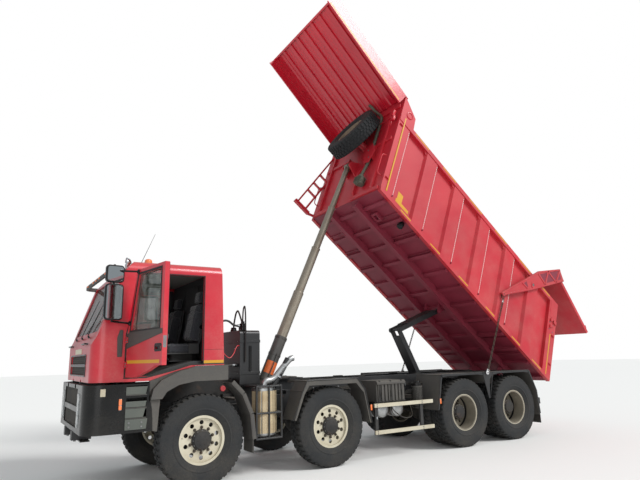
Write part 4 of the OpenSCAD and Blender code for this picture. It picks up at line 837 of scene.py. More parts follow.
for number, x in wheelPlaces.items():
    for side in "lr":
        ys = (1020,) if number < 3 else (738, 1088)
        places = [wheelMatrix(side, x, y) @ turn(spins.uniform(0, 8), "Y") for y in ys]
        copies = [(tyreMesh, place @ Matrix.Scale(1000, 4)) for place in places]
        placeMesh("tread_" + side + str(number), joined(copies), "wheel_" + side + str(number),
            ("tyre_" + side + str(number),))
spareMesh = joined([(tyreMesh, spare @ turn(-90, "Z") @ Matrix.Scale(1000, 4))])
placeMesh("tread_spare", spareMesh, "bed", ("spare_wheel",))
print("tyres placed")

# Wheel centres: black hub covers, nuts, hub bolts, valves, and the spare's own disc
hubValues = {"nuts": 10, "nutRing": 167.5, "capBolts": 12, "capRing": 124}


def ringPlaces(base, radius, count, y, start=0.0):
    places = []
    for k in range(count):
        a = 2 * math.pi * (k + start) / count
        places.append(facing(base, (radius * math.cos(a), y, radius * math.sin(a)), (0, 1, 0)))
    return places


def holedDisc(mesh, matrix, values):
    # Disc with a ring of round holes, built a sector at a time
    n, steps = values["holes"], 16
    for sector in range(n):
        middle = 2 * math.pi * (sector + 0.5) / n
        rings = {}
        for k in range(steps):
            a = 2 * math.pi * k / steps
            u, v = math.cos(a), math.sin(a)
            m = max(abs(u), abs(v))
            r = values["inner"] + (values["outer"] - values["inner"]) * (v / m + 1) / 2
            angle = middle + (u / m) * math.pi / n
            cosine, sine, hu, hv = math.cos(middle), math.sin(middle), values["hole"] * u, values["hole"] * v
            hole = (values["ring"] * cosine - hu * sine + hv * cosine,
                values["ring"] * sine + hu * cosine + hv * sine)
            for name, (px, pz) in (("edge", (r * math.cos(angle), r * math.sin(angle))), ("hole", hole)):
                for y in (values["low"], values["high"]):
                    rings.setdefault((name, y), []).append(mesh.verts.new(matrix @ Vector((px, y, pz))))
        for k in range(steps):
            m = (k + 1) % steps
            for y in (values["low"], values["high"]):
                mesh.faces.new((rings["edge", y][k], rings["edge", y][m], rings["hole", y][m],
                    rings["hole", y][k]))
            mesh.faces.new((rings["hole", values["low"]][k], rings["hole", values["low"]][m],
                rings["hole", values["high"]][m], rings["hole", values["high"]][k]))
    bmesh.ops.remove_doubles(mesh, verts=mesh.verts, dist=0.0001)


def buildHubs():
    for number, x in wheelPlaces.items():
        for side in "lr":
            steered = number < 3
            body, base = "wheel_" + side + str(number), wheelMatrix(side, x, 0)
            face = 1098 if steered else 923
            section = [(128, face + 0.6), (144, face + 0.6), (144, face + 8), (141.5, face + 10)]
            section += [(141.5, face + 25), (113, face + 55), (60, face + 62), (40, face + 66),
                (0, face + 66)] if steered else [
                (141.5, face + 135), (134, face + 142), (111, face + 176), (70, face + 182),
                (46, face + 186), (0, face + 186)]
            mesh = bmesh.new()
            lathe(mesh, base, section, 40)
            crown = face + (44 if steered else 160)
            for k in range(6):
                # Ribs across the cap's shoulder
                a = math.pi * k / 3
                rod(mesh, base, (60 * math.cos(a), crown + 17, 60 * math.sin(a)),
                    (128 * math.cos(a), crown - 8, 128 * math.sin(a)), 7, 8)
            makePiece("hubCap_" + side + str(number), mesh, "castIron", body)
            addCopies("wheelNuts_" + side + str(number), wheelNutPart,
                ringPlaces(base, hubValues["nutRing"], hubValues["nuts"], face + 0.4, 0.5), "rustedSteel",
                body)
            addCopies("capBolts_" + side + str(number), boltPart,
                ringPlaces(base, hubValues["capRing"], hubValues["capBolts"],
                face + (36 if steered else 152)),
                "zincSteel", body, 0.8)
            outer = 1135 if steered else 1203
            addPiece("valve_" + side + str(number), "rubberSeal", body, base, [
                (rod, (268, face + 2, 40), (285, outer - 40, 44), 5, 8),
                (rod, (285, outer - 42, 44), (287, outer - 12, 45), 8, 10)])
            # Lock ring and bead seat, seen as fine steps on the rim's outer edge
            addPiece("lockRing_" + side + str(number), "creamPaint", body, base,
                [(lathe, [(293, outer - 22), (303, outer - 16), (309, outer - 4), (322, outer + 1.5),
                (331, outer + 1), (331, outer - 2), (300, outer - 24)], 64, "Y", True)])
    base = spare @ turn(-90, "Z")
    mesh = bmesh.new()
    holedDisc(mesh, base, {"holes": 10, "inner": 112, "outer": 294, "ring": 232, "hole": 30, "low": -16,
        "high": 0})
    lathe(mesh, base, [(293, -115), (331, -115), (331, -107), (305, -106.5), (305, 106.5), (331, 107),
        (331, 115), (293, 115)], 64, closed=True)
    makePiece("spareRim", mesh, "spareEnamel", "bed")


buildHubs()
print("wheels dressed")

# Cab outside: seals, tape, step panels and trim
doorEdge = [(20, 1640), (20, 2890), (850, 2890), (1080, 2060), (1080, 1490), (800, 1490), (440, 1570),
    (200, 1640)]
windowEdge = [(120, 2090), (120, 2820), (790, 2820), (985, 2090)]


def grown(outline, by):
    # Outline moved outwards from its middle line by line
    count = len(outline)
    area = sum(outline[i][0] * outline[(i + 1) % count][1] - outline[(i + 1) % count][0] * outline[i][1]
        for i in range(count))
    sign = 1 if area > 0 else -1
    result = []
    for i in range(count):
        (ax, az), (bx, bz), (cx, cz) = outline[i - 1], outline[i], outline[(i + 1) % count]
        n1 = Vector((bz - az, ax - bx)).normalized() * sign
        n2 = Vector((cz - bz, bx - cx)).normalized() * sign
        m = (n1 + n2) / max(0.3, 1 + n1.dot(n2))
        result.append((bx + m.x * by, bz + m.y * by))
    return result


cabSides = (("Left", truck), ("Right", truck @ mirrored))
stepPanels = [(1276, 1374, 786, 806), (1118, 1190, 792, 808), (986, 1098, 806, 832)]
sideValues = {"sealRadius": 5.5, "tape": (-292, 12, 1648, 1688), "panelOut": 1191}


def buildCabSide(name, base):
    # Second lip of the seal, on the opening's inner edge
    addPiece("doorSeal" + name, "rubberSeal", "cab", base, [
        (edging, grown(doorEdge, 3), 1145, sideValues["sealRadius"], 10),
        (edging, grown(doorEdge, 3), 1096, 8, 10)])
    x0, x1, z0, z1 = sideValues["tape"]
    addPiece("cabTape" + name, "markTape", "cab", base, [(slab, (x0, 1150.2, z0), (x1, 1151.4, z1))])
    # Step panels in the darkened plastic that paints their shade
    addPiece("stepPanels" + name, "shadedStepPlastic", "chassis", base, [
        *((prism, [(lowRear, low), (1058, low), (1058, high), (topRear, high)], 1188,
        sideValues["panelOut"] + 6) for low, high, topRear, lowRear in stepPanels),
        (prism, [(790, 838), (1058, 838), (1058, 968), (776, 968)], 1188, sideValues["panelOut"] + 12)], 3)
    # Foot ledges between the panels, with raised grip bars
    ledges = bmesh.new()
    for z in (1274, 1112, 982):
        slab(ledges, base, (790, 1040, z - 10), (1056, 1192, z))
        for k in range(9):
            slab(ledges, base, (800 + 28 * k, 1060, z), (808 + 28 * k, 1186, z + 3))
    makePiece("stepLedges" + name, ledges, "grainPlastic", "chassis")
    # Hinge cover and air guide at the front corner
    addPiece("cornerGuide" + name, "grainPlastic", "cab", base,
        [(prism, [(1128, 1760), (1188, 1760), (1200, 2010), (1170, 2110), (1128, 2110)], 1138, 1166)], 8)
    addPiece("sideMarker" + name, "amberLens", "chassis", base,
        [*((slab, (1106, 1190, z0), (1144, 1205, z1)) for z0, z1 in ((1094, 1146), (1152, 1226)))], 4)
    addPiece("cornerPlate" + name, "blankPlate", "chassis", base,
        [(slab, (1310, 1176, 1268), (1372, 1192, 1362))], 2)
    addPiece("archLeg" + name, "grainPlastic", "chassis", base,
        [(prism, [(612, 1197), (746, 1197), (724, 1090), (710, 960), (704, 800), (640, 786), (632, 900),
        (624, 1050)], 1120, 1192)], 6)
    # Panel seams of the rear quarter
    addPiece("quarterSeam" + name, "rubberSeal", "cab", base, [(slab, (-298, 1149.6, 1838),
        (14, 1150.6, 1842))])
    # Inner arch apron that closes the wheel house, and the red band above the arch
    addPiece("archApron" + name, "grainPlastic", "cab", base, [(prism,
        [(-296, 1420), (-296, 1612), (120, 1612), (420, 1545), (752, 1440), (752, 1300), (735, 1210),
        (610, 1210), (548, 1300), (384, 1380), (150, 1420)], 1104, 1146)])
    addPiece("sillBand" + name, "redPaint", "cab", base, [*((prism, piece, 1147, 1152)
        for piece in ([(-298, 1616), (120, 1616), (420, 1549), (438, 1560), (196, 1631), (-298, 1631)],
        [(420, 1549), (760, 1438), (1100, 1438), (1100, 1481), (800, 1481), (438, 1560)]))])
    addPiece("doorFlange" + name, "rubberSeal", "cab", base, [(ringPrism, grown(doorEdge, 1.5),
        grown(doorEdge, 13), 1150, 1153)])


for name, base in cabSides:
    buildCabSide(name, base)
    addBolts("stepBolts" + name, "chassis", [(base, (0, 1, 0),
        [(850, 1203, 925), (1010, 1203, 925), (850, 1203, 872), (1010, 1203, 872)])])

# Arch skin over the guard behind the first wheel, in the trim's own grey
guardPath = [(-384, 1362), (-556, 1190), (-684, 905), (-724, 560)]

for name, base in cabSides:
    skin = bmesh.new()
    points = [(x - 2, z + 3) for x, z in guardPath]
    for a, b in zip(points, points[1:]):
        d = Vector((b[0] - a[0], b[1] - a[1])).normalized()
        n = Vector((d.y, -d.x)) * -12
        prism(skin, base, [a, b, (b[0] + n.x, b[1] + n.y), (a[0] + n.x, a[1] + n.y)], 900, 1244)
        prism(skin, base, [a, b, (b[0] + n.x * -4, b[1] + n.y * -4), (a[0] + n.x * -4, a[1] + n.y * -4)],
            1241, 1246)
    makePiece("archSkin" + name, skin, "grainPlastic", "chassis", 2)
    addPiece("frontFlap" + name, "rubberSeal", "chassis", base, [
        (slab, (-742, 905, 372), (-736, 1222, 600)),
        *((slab, (-746, 930 + 50 * k, 380), (-742, 942 + 50 * k, 590)) for k in range(6))])

# Doors: window rubber, diagonal trim, handle, tape, inner lining, latch and hinge plates
doorValues = {"tape": (90, 1046, 1672, 1712), "rubber": 22}
diagonal = [(1071, 1860), (1071, 2056), (990, 2072), (34, 2076), (34, 2020)]


def buildDoor(name, base, body):
    addPiece("windowRubber" + name, "rubberSeal", body, base, [
        (ringPrism, grown(windowEdge, -6), grown(windowEdge, doorValues["rubber"]), 1149, 1154),
        (ringPrism, grown(windowEdge, -6), grown(windowEdge, doorValues["rubber"]), 1084, 1091),
        (rod, (880, 1112, 2094), (808, 1112, 2812), 9, 8)], 2)
    addPiece("doorTrim" + name, "grainPlastic", body, base, [(prism, diagonal, 1150.2, 1156)], 3)
    x0, x1, z0, z1 = doorValues["tape"]
    addPiece("doorTape" + name, "markTape", body, base, [(slab, (x0, 1150.2, z0), (x1, 1151.4, z1))])
    addPiece("doorHandle" + name, "blackPlastic", body, base, [
        (ringPrism, softRect(140, 1855, 150, 44, 14), softRect(140, 1855, 192, 96, 22), 1148, 1153),
        (slab, (70, 1133, 1836), (210, 1135, 1876)),
        (slab, (78, 1140, 1862), (202, 1151, 1882)),
        (lathe, base @ move(196, 0, 1828), [(0, 1154), (9, 1154), (9, 1150), (0, 1150)], 16)], 2)
    lower = [(60, 1700), (60, 2040), (1040, 2040), (1040, 1558), (806, 1558), (446, 1634), (206, 1700)]
    addPiece("doorLining" + name, "liningPlastic", body, base, [
        (prism, lower, 1081.5, 1089.6),
        (prism, [(110, 1960), (110, 2010), (900, 2010), (940, 1960)], 1030, 1082),
        (prism, [(320, 1705), (320, 1790), (930, 1790), (930, 1640), (800, 1640)], 1032, 1082),
        (slab, (420, 1018, 1900), (760, 1082, 1935))], 6)
    addPiece("windowWinder" + name, "blackPlastic", body, base, [
        (lathe, base @ move(560, 0, 1830), [(0, 1060), (26, 1060), (30, 1082), (0, 1082)], 20),
        (rod, (560, 1056, 1830), (660, 1052, 1812), 7, 10),
        (rod, (660, 1030, 1812), (660, 1056, 1812), 13, 14),
        (lathe, base @ move(120, 0, 1890), [(0, 1064), (34, 1064), (38, 1082), (0, 1082)], 20)])
    addPiece("doorLip" + name, "rubberSeal", body, base, [(edging, grown(doorEdge, -16), 1089, 7)])
    addPiece("doorLatch" + name, "zincSteel", body, base, [
        (slab, (24.6, 1098, 1850), (26.4, 1142, 1990)),
        (slab, (23, 1108, 1900), (26, 1132, 1950))], 1)
    addBolts("hingeBolts" + name, body, [(base, (0, 1, 0), [(x, 1166, z) for z in (1638, 1672, 1958, 1992)
        for x in (1040, 1062)])], size=0.7)


buildDoor("Left", doorLeft, "door_left")
buildDoor("Right", doorRight, "door_right")

# Mirrors: two soft-cornered housings a side with silvered glass in the face that looks back
mirrorValues = {"x": 1000, "y": 1400, "wide": 240, "glasses": ((2225, 470), (2715, 230))}


def buildMirrors(name, base, body, node):
    shell = bmesh.new()
    glassMesh = bmesh.new()
    rimMesh = bmesh.new()
    x, y, wide = mirrorValues["x"], mirrorValues["y"], mirrorValues["wide"]
    for low, tall in mirrorValues["glasses"]:
        middle = low + tall / 2
        steps = ((-55, 0.93), (-46, 1.0), (-10, 1.0), (22, 0.9), (44, 0.68), (53, 0.4), (55, 0.12))
        rings = []
        for dx, k in steps:
            outline = softRect(y, middle, wide * k, tall * (k + 1) / 2, 46 * k, 6)
            rings.append([shell.verts.new(base @ Vector((x + dx, a, b))) for a, b in outline])
        for a, b in zip(rings, rings[1:]):
            for i in range(len(a)):
                j = (i + 1) % len(a)
                shell.faces.new((a[i], a[j], b[j], b[i]))
        shell.faces.new(rings[0])
        shell.faces.new(rings[-1][::-1])
        prism(glassMesh, base, softRect(y, middle, wide - 38, tall - 38, 30, 6), x - 58.5, x - 56, "yz")
        ringPrism(rimMesh, base, softRect(y, middle, wide - 36, tall - 36, 30, 6),
            softRect(y, middle, wide - 16, tall - 16, 40, 6), x - 60, x - 55, "yz")
    rod(shell, base, (x, y, 2200), (x, y, 2960), 13, 16)
    for z, reach in ((2212, 1010), (2877, 800)):
        rod(shell, base, (x, y, z), (reach, 1164, z - 20), 13, 14)
        lathe(shell, base @ move(reach, 0, z - 20), [(0, 1153.5), (34, 1153.5), (34, 1158), (20, 1172),
            (0, 1174)], 20)
    makePiece("mirrorShell" + name, shell, "blackPlastic", body, replaced=(node,))
    makePiece("mirrorGlass" + name, glassMesh, "mirrorGlass", body)
    makePiece("mirrorRim" + name, rimMesh, "rubberSeal", body, 1.5)


buildMirrors("Left", doorLeft, "door_left", "mirrors_l")
buildMirrors("Right", doorRight, "door_right", "mirrors_r")
print("doors and mirrors dressed")

# Roof: amber beacon, two work lamps, aerial, marker lamps in the visor
roofValues = {"lampY": (-420, 420)}


def buildRoof():
    black, lens, silver = bmesh.new(), bmesh.new(), bmesh.new()
    lathe(black, truck @ move(700, 560, 3060), [(0, 0), (74, 0), (74, 14), (62, 30), (0, 30)], 28, "Z")
    lathe(lens, truck @ move(700, 560, 3088), [(0, 0), (60, 0), (58, 60), (50, 96), (30, 112), (0, 116)],
        28, "Z")
    makePiece("beaconLens", lens, "amberLens", "cab")
    glass = bmesh.new()
    for y in roofValues["lampY"]:
        spot = truck @ move(950, y, 3146)
        lathe(silver, spot, [(0, -34), (30, -32), (66, -8), (78, 26), (84, 34), (84, 42), (76, 44),
            (74, 36), (0, 30)], 30, "X")
        lathe(glass, spot, [(0, 50), (40, 48), (76, 40), (76, 36), (0, 36)], 30, "X")
        prism(black, truck, [(y - 60, 3062), (y + 60, 3062), (y + 60, 3076), (y + 14, 3082), (y + 14, 3112),
            (y - 14, 3112), (y - 14, 3082), (y - 60, 3076)], 930, 962, "yz")
    makePiece("roofLampBowls", silver, "lampBowl", "cab")
    makePiece("roofLampGlass", glass, "lampLens", "cab")
    # Aerial leaning back, with its coil at the foot
    lathe(black, truck @ move(880, 900, 3046), [(0, 0), (30, 0), (26, 20), (12, 34), (0, 36)], 20, "Z")
    rod(black, truck, (880, 900, 3076), (700, 900, 3520), 4.5, 8, 2)
    makePiece("roofGear", black, "blackPlastic", "cab")
    addPiece("visorMarkers", "amberLens", "cab", truck, [*((slab, (1312, y - 42, 2902),
        (1344, y + 42, 2926)) for y in (-760, -260, 0, 260, 760))], 5)


buildRoof()

# Front: wipers, grille mesh, nose handles, blank centre plate, lamp internals
frontValues = {"wipers": (-640, -60, 520), "meshPitch": 34}


def buildFront():
    addPiece("wipers", "blackPlastic", "cab", truck, [
        *(shape for y in frontValues["wipers"] for shape in (
        (rod, (1452, y, 2030), (1462, y, 2062), 13, 12),
        (rod, (1468, y, 2060), (1400, y + 300, 2330), 6, 8),
        (rod, (1440, y + 90, 2160), (1330, y + 470, 2560), 6, 8, 4)))])
    grille = bmesh.new()
    step = frontValues["meshPitch"]
    for z0, z1 in ((1532, 1638), (1682, 1788)):
        for k in range(int(1400 / step) + 1):
            y = -700 + k * step
            rod(grille, truck, (1478, y, z0), (1478, y, z1), 3.2, 5)
        for k in range(1, 4):
            z = z0 + k * (z1 - z0) / 4
            rod(grille, truck, (1480, -698, z), (1480, 698, z), 3.2, 5)
    makePiece("grilleMesh", grille, "grainPlastic", "cab")
    low = bmesh.new()
    for z0, z1 in ((1132, 1358), (862, 1058)):
        for k in range(int(1240 / step) + 1):
            y = -620 + k * step
            rod(low, truck, (1540, y, z0), (1540, y, z1), 3.2, 5)
    makePiece("bumperMesh", low, "grainPlastic", "chassis")
    frames = bmesh.new()
    for z in (1585, 1735):
        ringPrism(frames, truck, softRect(0, z, 1404, 112, 12), softRect(0, z, 1440, 146, 24), 1496, 1507,
            "yz")
    addPiece("nosePlate", "blankPlate", "cab", truck, [(slab, (1500.3, -300, 1820), (1506, 300, 1890))], 2)
    for s in (-1, 1):
        pipe(frames, truck, [(1506, s * 520, 1940), (1536, s * 520, 1946), (1538, s * 560, 1946),
            (1538, s * 760, 1946), (1536, s * 800, 1946), (1500, s * 800, 1940)], 10, 10, 4)
    makePiece("noseFrames", frames, "blackPlastic", "cab", 3)
    bowls, bulbs = bmesh.new(), bmesh.new()
    for s in (-1, 1):
        for z in (970, 1090, 1210):
            lathe(bowls, truck @ move(1534, s * 765, z), [(0, -2), (22, 2), (44, 14), (52, 26), (52, 30),
                (46, 30), (40, 18), (0, 4)], 24, "X")
            lathe(bulbs, truck @ move(1534, s * 765, z), [(0, 26), (12, 24), (14, 8), (0, 8)], 12, "X")
    makePiece("headlampBowls", bowls, "lampBowl", "chassis")
    makePiece("headlampBulbs", bulbs, "zincSteel", "chassis")


buildFront()
print("cab front and roof dressed")

# Bed: places on the leaning side are given by the x of their foot and their height above the floor
bedLean = math.tan(math.radians(19))
bedSides = (("Left", bed), ("Right", bed @ mirrored))
ribFronts = [5180 - 920 * i for i in range(6)]
bedValues = {"rib": 330, "tape": 1.2}


def leaned(x, h):
    return (x + h * bedLean, 270 + h)


def strip(mesh, base, x0, x1, h0, h1, y, thick):
    prism(mesh, base, [leaned(x0, h0), leaned(x1, h0), leaned(x1, h1), leaned(x0, h1)], y, y + thick)


canopy = bed @ move(5120 + 2100 * bedLean, 0, 2370.3) @ turn(-6, "Y")


def buildBedSide(name, base):
    tape = bmesh.new()
    t = bedValues["tape"]
    for front in ribFronts[1:]:
        strip(tape, base, front + 6, front + 446, 1620, 1643, 1250.2, t)
        strip(tape, base, front + 30, front + 330, 12, 35, 1250.2, t)
    strip(tape, base, -180, 220, 1620, 1643, 1250.2, t)
    strip(tape, base, -160, 160, 12, 35, 1250.2, t)
    strip(tape, base, 5022, 5050, 70, 1700, 1238.3, 12.9)
    strip(tape, base, 4350, 4723, 130, 196, 1180.3, t)
    strip(tape, base, 4560, 4700, 196, 350, 1180.3, t)
    strip(tape, base, -366, -338, 40, 890, 1250.2, t)
    visor = canopy if name == "Left" else canopy @ mirrored
    slab(tape, visor, (120, 1250.2, -248), (2390, 1251.4, -220))
    makePiece("bedTape" + name, tape, "markTape", "bed")
    addPiece("canopySkirt" + name, "redPaint", "bed", visor, [
        (prism, [(66, -84), (2446, -84), (2446, -262), (66, -262)], 1243, 1250),
        (prism, [(66, -262), (2446, -262), (2446, -255), (66, -255)], 1222, 1244)], 1.5)
    # Cleats at the feet and heads of the panels
    cleats = bmesh.new()
    for front in ribFronts[:-1]:
        x = front - bedValues["rib"]
        prism(cleats, base, [leaned(x - 4, 60), leaned(x - 70, 60), leaned(x - 70, 84), leaned(x - 4, 126)],
            1180, 1222)
        prism(cleats, base, [leaned(x - 560, 1500), leaned(x - 486, 1568), leaned(x - 586, 1568)], 1180,
            1222)
    makePiece("bedCleats" + name, cleats, "redBedPaint", "bed", 2)
    folds = bmesh.new()
    for front in ribFronts:
        # Slanted flanks that make each rib a flat-topped fold
        if front + 45 <= 5180:
            a, b = leaned(front, 61), leaned(front + 45, 61)
            c, d = leaned(front + 45, 1569), leaned(front, 1569)
            corners = ((a, 1238), (d, 1238), (a, 1179), (d, 1179), (b, 1181), (c, 1181))
            verts = [folds.verts.new(base @ Vector((p[0], y, p[1]))) for p, y in corners]
            for face in ((0, 1, 5, 4), (0, 4, 2), (1, 3, 5), (2, 4, 5, 3), (0, 2, 3, 1)):
                folds.faces.new([verts[i] for i in face])
    makePiece("ribFlanks" + name, folds, "redBedPaint", "bed")
    # Weld beads along the plate's foot and the ribs' edges
    beads = bmesh.new()
    for front in ribFronts[1:]:
        for x in (front + 46, front + 590 - 5):
            p, q = leaned(x, 64), leaned(x, 1566)
            rod(beads, base, (p[0], 1180, p[1]), (q[0], 1180, q[1]), 3.5, 6)
    p, q = leaned(-216, 62), leaned(4846, 62)
    rod(beads, base, (p[0], 1181, p[1]), (q[0], 1181, q[1]), 5, 6)
    makePiece("weldBeads" + name, beads, "redBedPaint", "bed")
    # Stitch welds down the rear edge of each rib's face, coloured near-white as a painted highlight, over a
    # short drain pin at its foot in the darker red of painted shade
    stitches, pins = bmesh.new(), bmesh.new()
    for front in ribFronts[:-1]:
        x = front - bedValues["rib"] + 9
        for k in range(34):
            p, q = leaned(x, 130 + 41 * k), leaned(x, 156 + 41 * k)
            rod(stitches, base, (p[0], 1239, p[1]), (q[0], 1239, q[1]), 7, 6)
        p = leaned(x + 8, 96)
        lathe(pins, base @ move(p[0], 0, p[1]), [(0, 1238.2), (15, 1238.2), (15, 1258), (10, 1264),
            (0, 1264)], 14)
    makePiece("stitchWelds" + name, stitches, "weldHighlight", "bed")
    makePiece("drainPins" + name, pins, "redShadePaint", "bed")
    # Round boss and flange on the ear, grab handle on the wall's edge
    ear = bmesh.new()
    x, z = leaned(4959, 1832)
    lathe(ear, base @ move(x, 0, z), [(54, 1249), (84, 1249), (84, 1258), (78, 1262), (60, 1262),
        (54, 1256)], 36, closed=True)
    lathe(ear, base @ move(x, 0, z), [(0, 1251.5), (55, 1251.5), (55, 1250), (0, 1250)], 30)
    edgeWall = wall if name == "Left" else wall @ mirrored
    pipe(ear, edgeWall, [(0, 1150, 320), (70, 1152, 330), (112, 1154, 380), (114, 1154, 560),
        (112, 1154, 730), (70, 1152, 780), (0, 1150, 790)], 11, 12, 5)
    for x0, h in ((5100, 1500), (5100, 300), (-440, 900), (-440, 300)):
        p = leaned(x0, h)
        face = 1238 if x0 > 0 else 1250
        prism(ear, base, [(p[0] - 45, p[1] - 8), (p[0] + 45, p[1] - 8), (p[0] + 30, p[1] + 14),
            (p[0] - 30, p[1] + 14)], face, face + 26)
    makePiece("bedFittings" + name, ear, "redBedPaint", "bed", 1.5)
    lock = bmesh.new()
    strip(lock, base, -440, -270, 1250, 1600, 1250.3, 4.5)
    strip(lock, base, -500, -400, 1170, 1240, 1250.3, 30)
    for h in (1190, 1050):
        p = leaned(-350, h)
        prism(lock, base, [(p[0] - 60, p[1] + 40), (p[0] + 20, p[1] + 52), (p[0] + 60, p[1] + 10),
            (p[0] + 30, p[1] - 44), (p[0] - 10, p[1] - 20), (p[0] - 20, p[1] + 8)], 1252, 1276)
    makePiece("lockPlates" + name, lock, "redBedPaint", "bed", 3)
    addPiece("gatePivot" + name, "zincSteel", "bed", base @ move(986, 0, 1680),
        [(lathe, [(0, 1306), (22, 1306), (22, 1300), (46, 1300), (46, 1296), (0, 1296)], 24)])
    addBolts("lockBolts" + name, "bed", [(base, (0, 1, 0), [(leaned(x, h)[0], 1250.5, leaned(x, h)[1])
        for x in (-420, -290) for h in (970, 1120)])])


for name, base in bedSides:
    buildBedSide(name, base)
print("bed sides dressed")

# Front wall and floor underside: heater duct with its cast joint, spare's plates, wall frames, floor brackets
wallValues = {"duct": 33, "jointAt": (118, 600, 330),
    "route": [(110, 585, 440), (92, 590, 560), (54, 598, 760), (40, 602, 1000), (40, 602, 1500),
    (40, 601, 1930), (54, 560, 2034), (92, 470, 2122), (152, 402, 2196), (230, 372, 2250),
    (300, 362, 2266)]}


def buildWall():
    addPiece("heaterDuct", "dullCast", "bed", wall, [
        (pipe, wallValues["route"], wallValues["duct"], 20, 6),
        *((lathe, wall @ move(*place), [(32, -16), (38, -14), (38, 14), (32, 16)], 24, "Z")
        for place in ((109, 585, 470), (42, 601, 980), (40, 602, 1500), (92, 466, 2122)))])
    x, y, s = wallValues["jointAt"]
    addPiece("ductJoint", "dullCast", "bed", wall @ move(x - 8, y, s), [
        (lathe, [(0, 130), (52, 130), (56, 118), (56, 96), (84, 84), (88, 20), (80, -40), (96, -60),
        (96, -78), (60, -84), (0, -84)], 12, "Z"),
        (lathe, wall @ move(0, y - 10, s - 20), [(0, 60), (74, 62), (74, 150), (88, 152), (88, 168),
        (54, 170), (54, 150), (0, 150)], 16, "X"),
        *((slab, wall, (30, y - 96, s - 66 + 30 * k), (206, y + 84, s - 58 + 30 * k)) for k in range(5))],
        3)
    addBolts("jointBolts", "bed", [(wall, (1, 0, 0),
        [(168, y - 10 + 70 * math.cos(a), s - 20 + 70 * math.sin(a)) for a in (0.8, 2.4, 3.9, 5.5)])],
        size=0.8)
    # Bent carrier plates that the spare leans on, and their braces to the wall
    addPiece("wallPlates", "redBedPaint", "bed", wall, [
        (prism, [(366, 1195), (651, 1252), (800, 1000), (700, 760), (520, 800), (400, 1000)], 92, 100,
        "yz"),
        *((prism, [(0, 860), (96, 900), (96, 1160), (0, 1240)], y0, y0 + 10) for y0 in (420, 690)),
        *(shape for s0 in (-1, 1) for shape in (
        (prism, [(0, 60), (0, 2050), (52, 1990), (52, 120)], s0 * 905, s0 * 975),
        (prism, [(0, 100), (0, 820), (60, 640), (60, 160)], s0 * 300, s0 * 350))),
        *((slab, (0, y0, low), (38, y1, low + 70)) for low in (20, 1180, 1990)
        for y0, y1 in ((-1165, -260), (260, 1165)))], 3)
    addPiece("wallHook", "redPaint", "bed", wall, [
        (prism, [(1060, 1640), (1140, 1640), (1150, 1700), (1120, 1790), (1080, 1800), (1050, 1720)], 40,
        96, "yz"),
        (prism, [(1086, 1740), (1124, 1740), (1136, 1860), (1112, 1900), (1090, 1850)], 60, 120, "yz"),
        (rod, (60, 640, 1760), (70, 1090, 1750), 10, 10),
        (rod, (84, 1100, 1640), (84, 1106, 1500), 7, 8)], 4)
    addBolts("plateBolts", "bed", [(wall, (1, 0, 0), [(100, 560, 1100), (100, 640, 900)])], size=1.3)
    # Wing screw that holds the spare, on its clamp plate
    addPiece("spareScrew", "redBedPaint", "bed", spare, [
        (lathe, [(0, 44), (26, 44), (30, 22), (60, 20), (60, 14.4), (0, 14.4)], 24, "X"),
        (rod, (32, -70, 0), (32, 70, 0), 9, 10)])
    # Underside brackets in the darker red of painted shade, with one round black receiver near the front left
    # edge
    under = bmesh.new()
    for x0, y0 in ((4669, 640), (4584, -552)):
        ringPrism(under, bed, softRect(x0, y0, 110, 90, 8), softRect(x0, y0, 210, 170, 12), 196, 262, "xy")
    for k in range(9):
        for s0 in (-1, 1):
            x0 = 420 + 520 * k
            prism(under, bed, [(x0, 269), (x0 + 16, 269), (x0 + 16, 236), (x0, 236)], s0 * 492, s0 * 1160)
            prism(under, bed, [(x0 - 60, 268), (x0 + 76, 268), (x0 + 40, 196), (x0 - 24, 196)], s0 * 491,
                s0 * 499)
    makePiece("floorBrackets", under, "redShadePaint", "bed", 2)
    addPiece("floorReceiver", "blackPlastic", "bed", bed @ move(4334, 1060, 0),
        [(lathe, [(0, 146), (58, 146), (62, 156), (62, 228), (50, 238), (50, 258), (0, 258)], 30, "Z")])
    # Sheet folds of the canopy's underside, sharp-edged, between the CAD folds
    folds = bmesh.new()
    for k in range(8):
        y0 = -1050 + 300 * k
        prism(folds, canopy, [(y0 - 46, 0.5), (y0 + 46, 0.5), (y0 + 16, -22), (y0 - 16, -22)], 84, 2410,
            "yz")
    makePiece("canopyFolds", folds, "redPaint", "bed")


buildWall()
print("bed front dressed")

# Tailgate: braces and fittings in its closed place, hung from the opened gate's matrix
gateSides = (("Left", gate), ("Right", gate @ mirrored))


